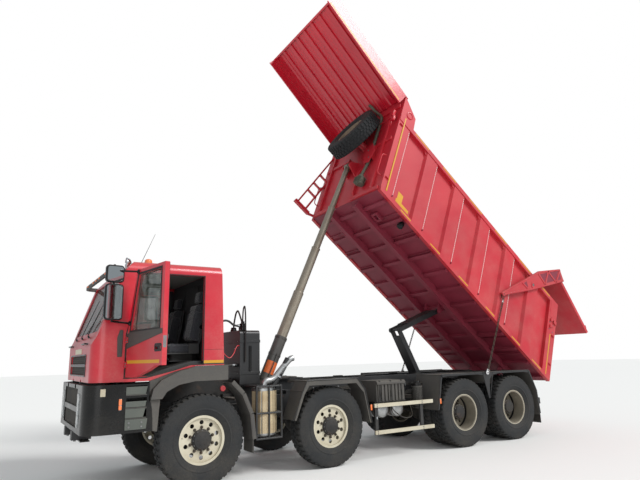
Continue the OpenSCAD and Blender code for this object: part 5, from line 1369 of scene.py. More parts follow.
def buildGate():
    for name, base in gateSides:
        frames = bmesh.new()
        y0, y1 = 1296, 1300
        # Raised borders that turn the arm's plate into a truss, with dark red triangles sunk between them as
        # painted shade standing for the openings
        prism(frames, base, [(-150, 1540), (740, 1578), (1140, 1598), (2012, 1678), (2004, 1704),
            (1136, 1632), (738, 1612), (-148, 1574)], y0, y1 + 6)
        prism(frames, base, [(-128, 1822), (646, 1920), (2072, 1740), (2062, 1712), (648, 1888),
            (-124, 1790)], y0, y1 + 6)
        for a, b in (((-120, 1800), (150, 1572)), ((150, 1572), (330, 1860)), ((330, 1860), (560, 1600)),
                ((560, 1600), (700, 1890)), ((1200, 1640), (1330, 1800))):
            d = (Vector(b) - Vector(a)).normalized()
            n = Vector((-d.y, d.x)) * 18
            prism(frames, base, [(a[0] - n.x, a[1] - n.y), (b[0] - n.x, b[1] - n.y),
                (b[0] + n.x, b[1] + n.y), (a[0] + n.x, a[1] + n.y)], y0, y1 + 6)
        lathe(frames, base @ move(986, 0, 1680), [(34, 1295), (70, 1295), (70, 1305), (34, 1305)], 32,
            closed=True)
        lathe(frames, base @ move(2030, 0, 1700), [(0, 1295), (40, 1295), (40, 1310), (0, 1310)], 24)
        makePiece("gateTruss" + name, frames, "redBedPaint", "tailgate", 2)
        # Dark red triangles: painted shade in place of the truss's see-through openings
        addPiece("gateHollows" + name, "redShadePaint", "tailgate", base,
            [*((prism, triangle, 1295.5, 1297.2) for triangle in ([(-80, 1600), (110, 1604), (-86, 1770)],
            [(180, 1612), (520, 1628), (330, 1820)], [(370, 1840), (570, 1640), (670, 1860)],
            [(-60, 1800), (140, 1612), (290, 1836)],
            [(1180, 1662), (1290, 1780), (1170, 1800)]))])
        # Shackle between the arm's eye and the chain
        addPiece("gateShackle" + name, "rustedSteel", "tailgate", base, [
            (rod, (2030, 1240, 1700), (2030, 1318, 1700), 11, 12),
            *(shape for y in (1249, 1301) for shape in (
            (rod, (2030, y, 1700), (2046, y, 1640), 9, 10),
            (rod, (2046, y, 1640), (2058, 1275 + (y - 1275) * 0.5, 1592), 9, 10))),
            (rod, (2059, 1260, 1589), (2059, 1290, 1589), 9, 10)])
        p = leaned(-560, 60)
        addPiece("gateHooks" + name, "redBedPaint", "tailgate", base,
            [(prism, [(p[0] - 60, p[1] + 60), (p[0] + 20, p[1] + 60), (p[0] + 20, p[1] - 30),
            (p[0] - 20, p[1] - 70), (p[0] - 50, p[1] - 40)], 1216, 1248)], 3)
    addPiece("gateRibs", "redBedPaint", "tailgate", gate, [*((prism,
        [leaned(-538, -40), leaned(-538, 1550), leaned(-566, 1550), leaned(-566, -40)], y0, y0 + 60)
        for y0 in (-850, -150, 650))], 3)
    addPiece("gateTape", "markTape", "tailgate", gate, [*((prism,
        [leaned(-596.4, 1010), leaned(-596.4, 1050), leaned(-597.8, 1050), leaned(-597.8, 1010)], y0,
        y0 + 400) for y0 in (-1180, -620, 200, 760))])


buildGate()
print("tailgate dressed")

# Chains: real links between an anchor shackle and the gate arm's eye
chainValues = {"lean": 25.3, "wire": 6.5, "long": 62, "wide": 21, "pitch": 49, "end": 1612}


def buildChains():
    w, r = chainValues["wire"], chainValues["wide"] - chainValues["wire"]
    half = (chainValues["long"] - chainValues["wide"] * 2) / 2 + w
    middle = []
    for k in range(12):
        a = 2 * math.pi * k / 12
        end = half if math.cos(a) > 0.01 else -half if math.cos(a) < -0.01 else 0
        middle.append(Vector((r * math.sin(a), 0, r * math.cos(a) + end)))
    link = bmesh.new()
    rings = []
    for k, p in enumerate(middle):
        along = (middle[(k + 1) % 12] - middle[k - 1]).normalized()
        side = Vector((0, 1, 0))
        other = along.cross(side)
        ring = []
        for m in range(6):
            a = math.pi * m / 3
            ring.append(link.verts.new(0.001 * (p + w * (math.cos(a) * side + math.sin(a) * other))))
        rings.append(ring)
    for k in range(12):
        a, b = rings[k], rings[(k + 1) % 12]
        for m in range(6):
            link.faces.new((a[m], a[(m + 1) % 6], b[(m + 1) % 6], b[m]))
    linkPart = hiddenPart("linkPart", link)
    parts = []
    for s in (1, -1):
        chain = truck @ move(-5720, s * 1275, 1310) @ turn(-chainValues["lean"], "Y")
        line = bmesh.new()
        ends = [line.verts.new(chain @ Vector((0, 0, z))) for z in (70, chainValues["end"] - 40)]
        line.edges.new(ends)
        data = bpy.data.meshes.new("chainLine")
        line.to_mesh(data)
        line.free()
        parts.append((runTree("links", linksTree, data, {"Link": linkPart,
            "Pitch": chainValues["pitch"] / 1000, "Finish": finishes["rustedSteel"]}), still))
        fittings = bmesh.new()
        # Shackle round the anchor pin and the eye at the top
        lathe(fittings, chain, [(15, -10), (31, -10), (31, 10), (15, 10)], 24, closed=True)
        for q in (-1, 1):
            rod(fittings, chain, (q * 22, 0, 14), (q * 13, 0, 62), 8, 10)
        rod(fittings, chain, (-24, 0, 62), (24, 0, 62), 9, 12)
        rod(fittings, chain, (0, 0, chainValues["end"] - 70), (0, 0, chainValues["end"] - 6), 12, 12)
        lathe(fittings, chain @ move(0, 0, chainValues["end"] - 66), [(0, 0), (19, 2), (19, 26), (0, 28)],
            6, "Z")
        data = meshData("fittings", fittings)
        data.materials.append(finishes["rustedSteel"])
        parts.append((data, still))
    placeMesh("gateChains", joined(parts), "chains", ("chains",))


buildChains()
print("chains linked")

# Hoist: wiper rings at each stage's mouth, blank label field, trunnion caps, oil hose along the barrel
hoistValues = {"tops": ((108, 0), (95, 1), (82, 2), (69, 3))}


def stageTop(n):
    # Height of a stage's upper end along the hoist, read from the CAD solid itself
    node = "hoist_barrel" if n == 0 else "hoist_stage_" + str(n)
    inverse = hoist.inverted()
    return max((inverse @ v.co).z for v in nodes[node].data.vertices)


def buildHoist():
    for radius, n in hoistValues["tops"]:
        top = stageTop(n)
        mesh = bmesh.new()
        # With the bed down, stage 1 ends inside the barrel and the others stand 14 mm above one another
        out, tall = {0: (6, 60), 1: (1, 60)}.get(n, (6, 13))
        lathe(mesh, hoist, [(radius - 11, top + 0.3), (radius + out - 0.5, top + 0.3),
            (radius + out, top - 2), (radius + out, top - tall * 0.75), (radius + 0.3, top - tall * 0.9),
            (radius + 0.3, top - tall), (radius - 1, top - tall)], 40, "Z")
        body = "hoist_barrel" if n == 0 else "hoist_stage_" + str(n)
        makePiece("wiperRing" + str(n), mesh, "hoistEnamel" if n == 0 else "groundSteel", body)
    # Label field left blank, and a clamp band with its hose
    mesh = bmesh.new()
    for k in range(14):
        a0, a1 = math.radians(20 + 10 * k), math.radians(30 + 10 * k)
        corners = ((a0, 420), (a1, 420), (a1, 640), (a0, 640))
        verts = [mesh.verts.new(hoist @ Vector((r * math.cos(a), r * math.sin(a), z)))
            for r in (109, 107) for a, z in corners]
        for face in ((0, 1, 2, 3), (7, 6, 5, 4), (0, 4, 5, 1), (1, 5, 6, 2), (2, 6, 7, 3), (3, 7, 4, 0)):
            mesh.faces.new([verts[i] for i in face])
    bmesh.ops.remove_doubles(mesh, verts=mesh.verts, dist=0.0001)
    makePiece("hoistLabel", mesh, "orangeField", "hoist_barrel")
    addPiece("hoistBands", "hoistEnamel", "hoist_barrel", hoist, [
        *((lathe, [(108, z), (114, z), (114, z + 34), (108, z + 34)], 40, "Z", True)
        for z in (-120, 300, 760)),
        (pipe, [(60, 112, -150), (40, 128, -60), (20, 130, 120), (10, 130, 400), (10, 130, 760),
        (4, 118, 800)], 9, 10, 5)])
    addPiece("trunnionCaps", "castIron", "hoist_barrel", truck @ move(-1380, 0, 1050),
        [*((lathe, [(0, s * 200), (30, s * 200), (52, s * 196), (52, s * 195), (0, s * 195)], 28)
        for s in (-1, 1))])


buildHoist()

# Exhaust: heat shields in the tube guard, bands, corrugated riser
exhaustValues = {"x": -1050, "y": 900}


def buildExhaust():
    x, y = exhaustValues["x"], exhaustValues["y"]
    base = truck @ move(x, y, 0)
    shields = bmesh.new()
    for a in (-62, -6, 50):
        # Three flat shields, each folded along both long edges
        m = base @ turn(a, "Z")
        prism(shields, m, [(-78, 186), (78, 186), (88, 176), (86, 174), (76, 183), (-76, 183), (-86, 174),
            (-88, 176)], 600, 1210, "xy")
        for k in range(6):
            lathe(shields, m @ move(0, 0, 660 + 98 * k), [(0, 189), (20, 188), (22, 186), (0, 185)], 16)
    makePiece("heatShields", shields, "heatSheet", "chassis")
    addPiece("silencerBands", "tankSheet", "chassis", base, [
        (lathe, [(170, 570), (176.4, 570), (177.2, 573), (177.2, 1247), (176.4, 1250), (170, 1250)], 48,
        "Z", True),
        *((lathe, [(176, z), (180, z), (180, z + 22), (176, z + 22)], 40, "Z", True)
        for z in (590, 905, 1222)),
        (lathe, [(0, 1260), (150, 1262), (172, 1256), (176.5, 1240), (176.5, 1236), (0, 1236)], 40, "Z"),
        (lathe, [(0, 552), (60, 550), (160, 556), (176.5, 572), (176.5, 580), (0, 580)], 40, "Z")])
    # Bent pipe from the silencer's top to the riser
    riser = bmesh.new()
    pipe(riser, truck, [(-1060, 900, 1262), (-1064, 900, 1310), (-1100, 900, 1352), (-1170, 900, 1362),
        (-1240, 900, 1392), (-1300, 900, 1450), (-1420, 900, 1576), (-1520, 900, 1668), (-1580, 900, 1690)],
        47, 24, 6)
    lean = truck @ move(-1210, 900, 1240) @ turn(-32, "Y")
    for k in range(9):
        lathe(riser, lean, [(46, 250 + 16 * k), (53, 254 + 16 * k), (46, 260 + 16 * k)], 24, "Z",
            closed=True)
    lathe(riser, lean, [(46, 180), (56, 180), (56, 206), (46, 206)], 24, "Z", closed=True)
    makePiece("exhaustRiser", riser, "tankSheet", "chassis")
    guard = bmesh.new()
    for gx in (-1257, -1050, -843):
        rod(guard, truck, (gx, 1098, 520), (gx, 1098, 1296), 14, 14)
    for gz in (533, 893, 1283):
        rod(guard, truck, (-1262, 1098, gz), (-838, 1098, gz), 14, 14)
        for gx in (-1257, -843):
            rod(guard, truck, (gx, 1098, gz), (gx, 720, gz), 14, 14)
    makePiece("exhaustGuard", guard, "blackFrame", "chassis")


buildExhaust()

# Frame: bolts along the rails, air lines, brackets, brake chambers, springs' leaves, drive shafts
frameValues = {"boltPitch": 170}


def buildFrame():
    rows = []
    for s in (1, -1):
        for z in (1070, 832):
            rows.append((truck, (0, s, 0), [(1250 - frameValues["boltPitch"] * k, s * 425.3, z)
                for k in range(48) if not -5850 < 1250 - frameValues["boltPitch"] * k < -5650]))
        rows.append((truck, (0, s, 0), [(-1900 - 255 * k, s * 425.3, 1170) for k in range(20)]))
        rows.append((truck, (0, s, 0), [(x, s * 195.3, z) for x in (-1750, -1150) for z in (970, 1130)]))
    addBolts("frameBolts", "chassis", rows, finish="castIron")
    lines = bmesh.new()
    for s in (1, -1):
        for k, (z, r) in enumerate(((1126, 7), (1142, 6), (1156, 8), (1174, 5))):
            pipe(lines, truck, [(-1900, s * 437, z), (-2700, s * (438 + 3 * (k % 2)), z - 4),
                (-3600, s * 438, z), (-4600, s * 437, z - 3), (-5560, s * 438, z)], r, 7, 3)
        pipe(lines, truck, [(1000, s * 437, 1000), (300, s * 450, 1010), (-300, s * 446, 1004),
            (-900, s * 437, 1000)], 9, 8, 4)
    makePiece("airLines", lines, "hoseRubber", "chassis")
    clips = bmesh.new()
    for s in (1, -1):
        for k in range(14):
            x = -1980 - 260 * k
            prism(clips, truck, [(s * 425, 1110), (s * 452, 1110), (s * 452, 1186), (s * 425, 1186)], x,
                x + 22, "yz")
    makePiece("lineClips", clips, "zincSteel", "chassis", 2)
    plates = bmesh.new()
    for s in (1, -1):
        for x in (-2560, -3180, -4420, -5560, -6860):
            # Gusset that ties the subframe to the rail
            prism(plates, truck, [(x - 60, 990), (x + 60, 990), (x + 60, 1230), (x + 24, 1290),
                (x - 24, 1290), (x - 60, 1230)], s * 425.4, s * 434)
        for x in (-420, -2550, -1700, 420):
            prism(plates, truck, [(x - 50, 800), (x + 50, 800), (x + 34, 690), (x - 34, 690)], s * 350,
                s * 424)
    makePiece("frameGussets", plates, "blackFrame", "chassis", 3)
    chambers = bmesh.new()
    for x in (-5080, -6490):
        for s in (1, -1):
            spotAt = truck @ move(x + 190, s * 560, 640)
            lathe(chambers, spotAt, [(0, 0), (74, 4), (84, 20), (84, 44), (92, 48), (92, 58), (84, 62),
                (84, 150), (70, 176), (0, 182)], 28, "X")
            rod(chambers, truck, (x + 90, s * 560, 640), (x + 196, s * 560, 640), 12, 10)
            slab(chambers, truck, (x + 76, s * 560 - 40, 560), (x + 96, s * 560 + 40, 700))
    makePiece("brakeChambers", chambers, "castIron", "chassis")
    shafts = bmesh.new()
    for x0, x1 in ((-300, -1840), (-2420, -4800), (-5360, -6230)):
        rod(shafts, truck, (x0, 0, 640), (x1, 0, 640), 46, 18)
        for x in (x0 - 30, x1 + 30):
            lathe(shafts, truck @ move(x, 0, 640), [(0, -34), (66, -34), (66, -22), (50, -16), (50, 16),
                (66, 22), (66, 34), (0, 34)], 20, "X")
    makePiece("driveShafts", shafts, "castIron", "chassis")
    leaves = bmesh.new()
    for x in (0, -2130):
        for s in (1, -1):
            for k in range(5):
                z = 686 + 13 * k
                reach = 560 - 90 * k
                lift = 94 - 20 * k
                for q in (1, -1):
                    prism(leaves, truck, [(x, z), (x + q * reach, z + lift), (x + q * reach, z + lift + 10),
                        (x, z + 10)], s * 337, s * 433)
            for q in (-70, 70):
                rod(leaves, truck, (x + q, s * 330, 560), (x + q, s * 330, 770), 10, 10)
                rod(leaves, truck, (x + q, s * 440, 560), (x + q, s * 440, 770), 10, 10)
            slab(leaves, truck, (x - 90, s * 385 - 66, 756), (x + 90, s * 385 + 66, 772))
    makePiece("springLeaves", leaves, "castIron", "chassis", 1.5)
    # Red filler cap on the rail behind the cab
    addPiece("redCap", "redPaint", "chassis", truck @ move(-560, 0, 1250),
        [(lathe, [(0, 470), (42, 470), (44, 462), (44, 440), (30, 436), (30, 425), (0, 425)], 24)])
    addPiece("towPins", "zincSteel", "chassis", truck, [
        *(shape for s in (1, -1) for shape in (
        (lathe, truck @ move(1520, s * 350, 0), [(0, 806), (34, 806), (34, 800), (0, 800)], 20, "Z"),
        (rod, (1520, s * 350, 660), (1520, s * 350, 806), 17, 14))),
        (lathe, truck @ move(-7180, 0, 0), [(0, 1012), (34, 1012), (34, 992), (0, 992)], 20, "Z"),
        (rod, (-7180, 0, 834), (-7180, 0, 1000), 17, 14)])


buildFrame()
print("chassis dressed")

# Battery box, air tanks, dryer, side guard ends, oil tank and fuel tank fittings
boxValues = {"strapX": (-3620, -3380, -3140)}


def buildSideGear():
    addPiece("batteryStraps", "rubberSeal", "chassis", truck, [
        *(shape for x in boxValues["strapX"] for shape in (
        (slab, (x - 14, 636, 1262), (x + 14, 1150, 1268)),
        (slab, (x - 14, 1142, 930), (x + 14, 1149, 1268)),
        (rod, (x, 1152, 1000), (x, 1152, 1100), 8, 10))),
        (slab, (-3712, 630, 908), (-3068, 1138, 920))], 1.5)
    addPiece("batteryLid", "grainPlastic", "chassis", truck, [(prism,
        [(634, 1258), (1126, 1258), (1150, 1236), (1150, 1204), (1156, 1204), (1156, 1240), (1130, 1266),
        (634, 1266)], -3706, -3074, "yz")], 2)
    tanks = bmesh.new()
    for x in (-3560, -3220):
        lathe(tanks, truck @ move(x, 0, 780), [(0, 1128), (40, 1124), (84, 1108), (118, 1084), (131, 1062),
            (131.5, 1040), (131.5, 1036), (0, 1036)], 32)
        lathe(tanks, truck @ move(x, 0, 780), [(130.2, 900), (135, 900), (135, 932), (130.2, 932)], 32,
            closed=True)
        lathe(tanks, truck @ move(x, 0, 780), [(130.2, 660), (135, 660), (135, 692), (130.2, 692)], 32,
            closed=True)
    makePiece("airTankDomes", tanks, "tankSheet", "chassis")
    dryer = bmesh.new()
    base = truck @ move(-4200, 900, 0)
    lathe(dryer, base, [(0, 1226), (30, 1226), (54, 1214), (62, 1196), (62, 1184), (100.5, 1182),
        (106, 1176), (106, 1140), (100.3, 1136), (100.3, 1130), (0, 1130)], 36, "Z")
    for k in range(24):
        a = 2 * math.pi * k / 24
        rod(dryer, base, (102 * math.cos(a), 102 * math.sin(a), 760),
            (102 * math.cos(a), 102 * math.sin(a), 1110), 4, 6)
    lathe(dryer, base, [(100.3, 750), (108, 750), (108, 772), (100.3, 772)], 36, "Z", closed=True)
    makePiece("airDryer", dryer, "blackPlastic", "chassis")
    addPiece("dryerHoses", "hoseRubber", "chassis", truck, [
        *((pipe, [(-4130, 850 + 30 * k, 1000 + 30 * k), (-4040, 800, 1010 + 20 * k),
        (-3960, 700, 940 - 20 * k), (-3900, 560, 960), (-3880, 430, 980 + 24 * k)], 9, 8, 5)
        for k in range(3)),
        (pipe, [(-3400, 1060, 900), (-3420, 1150, 760), (-3600, 1160, 640), (-3800, 1120, 620),
        (-3960, 1000, 660), (-4040, 860, 800)], 8, 8, 6),
        (pipe, [(-4180, 800, 820), (-4300, 700, 760), (-4500, 560, 820), (-4560, 434, 900)], 9, 8, 5)])
    guards = bmesh.new()
    for s in (1, -1):
        for z in (870, 440):
            slab(guards, truck, (-4281, s * 1188.6, z - 30.6), (-2959, s * 1215.6, z + 30.6))
            for k in (-10, 10):
                slab(guards, truck, (-4278, s * 1215 - 1, z + k - 2), (-2962, s * 1215 + 1, z + k + 2))
    makePiece("guardEnds", guards, "creamPaint", "chassis")
    addBolts("guardBolts", "chassis", [(truck, (0, s, 0), [(x, s * 1216, z) for x in (-3010, -4020)
        for z in (855, 885, 425, 455)]) for s in (1, -1)], size=0.8)
    addPiece("flankMarkers", "amberLens", "chassis", truck, [*((slab, (x - 16, s * 1241, 810),
        (x + 16, s * 1252, 900)) for s in (1, -1) for x in (-2862, -4440))], 3)


buildSideGear()


def buildOilTank():
    addPiece("tankFittings", "blackPlastic", "chassis", truck @ move(-895, 370, 2150), [
        (lathe, truck @ move(-880, 480, 2150), [(0, 150), (26, 150), (30, 144), (30, 116), (46, 112),
        (52, 104), (52, 60), (46, 52), (46, 8), (66, 6), (66, 0), (0, 0)], 28, "Z"),
        (lathe, [(0, 96), (28, 94), (37, 86), (37, 76), (36, 72), (36, 0), (0, 0)], 24, "Z"),
        (lathe, truck @ move(-872, 120, 2150), [(0, 70), (38, 68), (46, 58), (46, 30), (54, 26), (54, 0),
        (0, 0)], 28, "Z"),
        (slab, truck, (-1000, 561, 1500), (-960, 575, 1900))], 1.5)
    addPiece("tankBands", "blackFrame", "chassis", truck, [*((ringPrism,
        [(-801, -560), (-801, 560), (-1149, 560), (-1149, -560)],
        [(-794, -568), (-794, 568), (-1156, 568), (-1156, -568)], z, z + 46, "xy") for z in (1450, 1950))],
        2)
    addBolts("tankBolts", "chassis", [(truck, (0, 0, 1),
        [(-880 + 56 * math.cos(a), 480 + 56 * math.sin(a), 2156) for a in (0.5, 2.1, 3.7, 5.2)]),
        (truck, (1, 0, 0), [(-793, y, z) for y in (-480, 480) for z in (1473, 1973)])], size=0.8)
    # Finer loops over the tank, fixed at both ends
    addPiece("tankLoops", "hoseRubber", "chassis", truck, [
        (pipe, [(-876, 464, 2284), (-873, 418, 2350), (-872, 350, 2440), (-872, 290, 2484),
        (-872, 220, 2450), (-872, 165, 2350), (-872, 132, 2260), (-872, 120, 2212)], 14, 12, 7),
        (pipe, [(-1149, 300, 2060), (-1180, 298, 2050), (-1200, 290, 1980), (-1206, 260, 1800),
        (-1210, 200, 1500), (-1230, 120, 1240)], 14, 12, 6),
        (pipe, [(-880, 480, 2296), (-880, 486, 2400), (-884, 500, 2500), (-890, 530, 2540),
        (-890, 556, 2490), (-888, 574, 2380), (-888, 582, 2200), (-888, 586, 2000), (-888, 588, 1800),
        (-888, 584, 1650)], 12, 12, 6)])
    # Red line that hangs in one loop between the cab's rear and the tank
    addPiece("redLine", "redPaint", "chassis", truck, [(pipe, [(-796, 540, 1900), (-760, 560, 1904),
        (-716, 590, 1860), (-672, 610, 1780), (-600, 630, 1716), (-520, 640, 1760), (-440, 650, 1860),
        (-372, 655, 1960), (-300, 655, 2000)], 7, 10, 7)])
    tank = bmesh.new()
    for x in (-3840, -3560, -3200):
        outline = softRect(-840, 660, 490, 570, 94, 6)
        outer = softRect(-840, 660, 502, 582, 98, 6)
        ringPrism(tank, truck, outline, outer, x, x + 44, "yz")
    makePiece("fuelStraps", tank, "zincSteel", "chassis")
    addPiece("fuelCap", "blackPlastic", "chassis", truck @ move(-3250, -1000, 930),
        [(lathe, [(0, 62), (44, 60), (50, 50), (50, 20), (56, 16), (56, -30), (0, -30)], 28, "Z")])


buildOilTank()
print("tanks dressed")

# Rear guards: flat side plates with folded edges, flaps, rear lamps and their brackets
rearValues = {"y": 1241}
# Folded edges, each from one point in X and Z to the next
guardLines = [((-4370, 700), (-4500, 1318)), ((-5620, 1318), (-5736, 830)), ((-5906, 1318), (-5768, 830)),
    ((-6990, 1318), (-7190, 900)), ((-4500, 1320), (-5620, 1320)), ((-5906, 1320), (-6990, 1320)),
    ((-1380, 760), (-1560, 1180)), ((-1560, 1180), (-1640, 1336)), ((-1640, 1338), (-2610, 1338)),
    ((-2610, 1336), (-2750, 1156)), ((-2750, 1156), (-2862, 622))]


def buildRearGuards():
    for name, base in cabSides:
        y = rearValues["y"]
        # Plate outlines in X and Z: ahead of the third wheel, between the wheels, behind the last
        addPiece("guardPlates" + name, "blackFrame", "chassis", base, [
            *((prism, outline, y, y + 6) for outline in ([(-4370, 700), (-4490, 1310), (-4530, 1310),
            (-4400, 700)], [(-5600, 1318), (-5640, 1180), (-5730, 830), (-5760, 830), (-5800, 1180),
            (-5930, 1318)],
            [(-7230, 440), (-7184, 900), (-6984, 1300), (-7030, 1318), (-7216, 900), (-7262, 440)])),
            *((prism, [(x0, 1318), (x1, 1318), (x1, 1270), (x1 + 60, 1270), (x1 + 150, 1286),
            (x0 - 150, 1286), (x0 - 60, 1270), (x0, 1270)], y, y + 6)
            for x0, x1 in ((-4490, -5640), (-5900, -7010))),
            *((rod, (a[0], 1246, a[1]), (b[0], 1246, b[1]), 8, 8) for a, b in guardLines)], 1.5)
        addPiece("rearFlap" + name, "rubberSeal", "chassis", base, [
            (slab, (-7252, 590, 250), (-7244, 1236, 640)),
            *((slab, (-7256, 620 + 66 * k, 262), (-7252, 634 + 66 * k, 620)) for k in range(9))])
        addPiece("lampBack" + name, "blackPlastic", "chassis", base,
            [(slab, (-7388, 740, 616), (-7376, 1140, 746))], 4)
        amber, red = bmesh.new(), bmesh.new()
        slab(amber, base, (-7402, 770, 634), (-7386, 880, 728))
        slab(red, base, (-7402, 886, 634), (-7386, 1110, 728))
        makePiece("rearAmber" + name, amber, "amberLens", "chassis", 5)
        makePiece("rearRed" + name, red, "redLens", "chassis", 5)
        addPiece("bedRests" + name, "rubberSeal", "chassis", base,
            [*((slab, (x - 90, 340, 1320), (x + 90, 424, 1334)) for x in (-6100, -4700, -3300, -2100))], 4)
    addPiece("underrunFolds", "blackFrame", "chassis", truck, [*((slab, (-7380, -1176, z - 4),
        (-7372, 1176, z + 4)) for z in (632, 728))])


buildRearGuards()
print("rear dressed")

# Cab inside: linings, floor mats, tunnel cover, overhead shelf, belts
liningValues = {"rearFoot": -238, "rearLean": 0.0347}


def buildLinings():
    foot, lean = liningValues["rearFoot"], liningValues["rearLean"]
    rearFace = truck @ Matrix(((1, 0, lean, foot - 1680 * lean), (0, 1, 0, 0), (0, 0, 1, 0), (0, 0, 0, 1)))
    addPiece("rearLining", "liningPlastic", "cab", rearFace, [
        (prism, softRect(0, 2338, 2150, 1296, 70), 1, 12, "yz"),
        *(shape for y0 in (-980, -320, 340) for shape in (
        (prism, softRect(y0 + 320, 2500, 600, 760, 40), 12, 24, "yz"),
        (prism, softRect(y0 + 320, 1900, 600, 340, 40), 12, 24, "yz")))], 8)
    addPiece("roofLining", "paleLining", "cab", truck, [
        (prism, softRect(360, 0, 1080, 2120, 60), 2984, 2998, "xy"),
        (prism, [(560, 2984), (560, 2940), (700, 2890), (1010, 2872), (1046, 2882), (956, 2984)], -940,
        940),
        *((prism, [(712, 2889), (1000, 2871.5), (1000, 2860), (712, 2877)], y0, y0 + 560)
        for y0 in (-900, -300, 300))], 8)
    for name, base in cabSides:
        addPiece("sideLining" + name, "liningPlastic", "cab", base, [
            (prism, [(-222, 1684), (8, 1684), (8, 2940), (-186, 2940)], 1078, 1089),
            (prism, [(-196, 1760), (-14, 1760), (-14, 2060), (-186, 2060)], 1066, 1078),
            (prism, [(16, 2904), (846, 2904), (846, 2960), (16, 2960)], 1076, 1089),
            (prism, [(16, 2960), (846, 2960), (846, 2984), (16, 2984)], 1046, 1076)], 5)
        mat = bmesh.new()
        floorLine = [(-226, 1680.5), (150, 1680.5), (450, 1610.5), (788, 1490.5), (1096, 1490.5)]
        outline = floorLine + [(x, z + 7) for x, z in reversed(floorLine)]
        prism(mat, base, outline, 240, 1020)
        for a, b in zip(floorLine, floorLine[1:]):
            a, b = Vector(a), Vector(b)
            d = (b - a).normalized()
            n = Vector((-d.y, d.x))
            for k in range(int((b - a).length / 44)):
                p, q = a + d * (12 + 44 * k), a + d * (28 + 44 * k)
                prism(mat, base, [tuple(p + n * 7), tuple(q + n * 7), tuple(q + n * 11), tuple(p + n * 11)],
                    262, 998)
        makePiece("floorMat" + name, mat, "rubberSeal", "cab")
        # Lap and shoulder belt hanging from the pillar
        pipeLine = [(-150, 1050, 2560), (-148, 1046, 2300), (-146, 1044, 2000), (-144, 1042, 1760)]
        addPiece("seatBelt" + name, "beltWebbing", "cab", base, [
            *((prism, [(a[0] - 24, a[2]), (a[0] + 24, a[2]), (b[0] + 24, b[2]), (b[0] - 24, b[2])],
            a[1] - 1.5, a[1]) for a, b in zip(pipeLine, pipeLine[1:])),
            (slab, (-186, 1036, 2556), (-112, 1066, 2610)),
            (slab, (-186, 1030, 1700), (-104, 1074, 1768))])
    top = [(-196, 1800.5), (420, 1800.5), (760, 1640.5), (1170, 1640.5)]
    addPiece("tunnelCover", "liningPlastic", "cab", truck, [
        (prism, top + [(x + 2, z + 10) for x, z in reversed(top)], -236, 236),
        *((prism, truck @ (still if s > 0 else mirrored), [(-196, 1686), (-196, 1810), (424, 1810),
        (762, 1650), (1170, 1650), (1170, 1500), (800, 1500), (440, 1690)], 231, 239) for s in (1, -1)),
        *((slab, (x0, -190, 1810), (x1, 190, 1822)) for x0, x1 in ((-180, 110), (130, 400)))], 5)
    addPiece("gearLever", "rubberSeal", "cab", truck, [
        *((lathe, truck @ move(800, 90, z), [(0, 0), (r, 0), (r, 8), (r - 10, 11), (0, 11)], 24, "Z")
        for r, z in ((70, 1650), (64, 1662), (66, 1674), (54, 1686), (56, 1698), (42, 1710), (44, 1722),
        (30, 1734), (20, 1744))),
        (rod, (800, 90, 1740), (700, 110, 1960), 9, 12),
        (lathe, truck @ move(696, 111, 1968) @ turn(-24, "Y"),
        [(0, -34), (14, -32), (26, -14), (29, 6), (22, 26), (0, 33)], 20, "Z"),
        (rod, (560, -80, 1740), (520, -80, 1850), 8, 10),
        (lathe, truck @ move(516, -80, 1862), [(0, -20), (14, -16), (18, 0), (14, 16), (0, 20)], 16, "Z")])


# Seats: sprung bases with gaiters, padded cushions and backs, all from one stitched pair
seatValues = {"voxel": 0.009, "pressure": 4.2, "cap": 0.026, "fill": 0.7}


def softBox(mesh, low, high, corner, steps=4):
    # A box whose side edges are round, in frame millimetres
    outline = softRect((low[0] + high[0]) / 2, (low[1] + high[1]) / 2, high[0] - low[0], high[1] - low[1],
        corner, steps)
    prism(mesh, still, outline, low[2], high[2], "xy")


def padMesh(name, shapes, base, frames=20):
    # Blows a closed form up a little as cloth, then smooths it once
    mesh = bmesh.new()
    for matrix, low, high, corner in shapes:
        part = bmesh.new()
        softBox(part, low, high, corner)
        part.transform(matrix)
        copy = bpy.data.meshes.new("part")
        part.to_mesh(copy)
        mesh.from_mesh(copy)
        part.free()
        bpy.data.meshes.remove(copy)
    mesh.transform(base)
    bmesh.ops.recalc_face_normals(mesh, faces=mesh.faces)
    data = bpy.data.meshes.new(name)
    mesh.to_mesh(data)
    mesh.free()
    pad = bpy.data.objects.new(name, data)
    bpy.context.scene.collection.objects.link(pad)
    remesh = pad.modifiers.new("even", "REMESH")
    remesh.mode = "VOXEL"
    remesh.voxel_size = seatValues["voxel"]
    applied(pad)
    start = [v.co.copy() for v in pad.data.vertices]
    cloth = pad.modifiers.new("swell", "CLOTH")
    cloth.settings.quality = 5
    cloth.settings.mass = 0.3
    cloth.settings.use_pressure = True
    cloth.settings.uniform_pressure_force = seatValues["pressure"]
    cloth.settings.effector_weights.gravity = 0
    cloth.point_cache.frame_start, cloth.point_cache.frame_end = 1, frames
    for frameNumber in range(1, frames + 1):
        bpy.context.scene.frame_set(frameNumber)
    applied(pad)
    bpy.context.scene.frame_set(1)
    for v, old in zip(pad.data.vertices, start):
        step = v.co - old
        if step.length > seatValues["cap"]:
            v.co = old + step * (seatValues["cap"] / step.length)
    smooth = pad.modifiers.new("smooth", "SUBSURF")
    smooth.levels = smooth.render_levels = 1
    applied(pad)
    result = pad.data.copy()
    bpy.data.objects.remove(pad)
    return result


def applied(item):
    # Leaves an object with the mesh that its modifiers make
    bpy.context.view_layer.update()
    data = bpy.data.meshes.new_from_object(item.evaluated_get(bpy.context.evaluated_depsgraph_get()))
    item.modifiers.clear()
    item.data = data


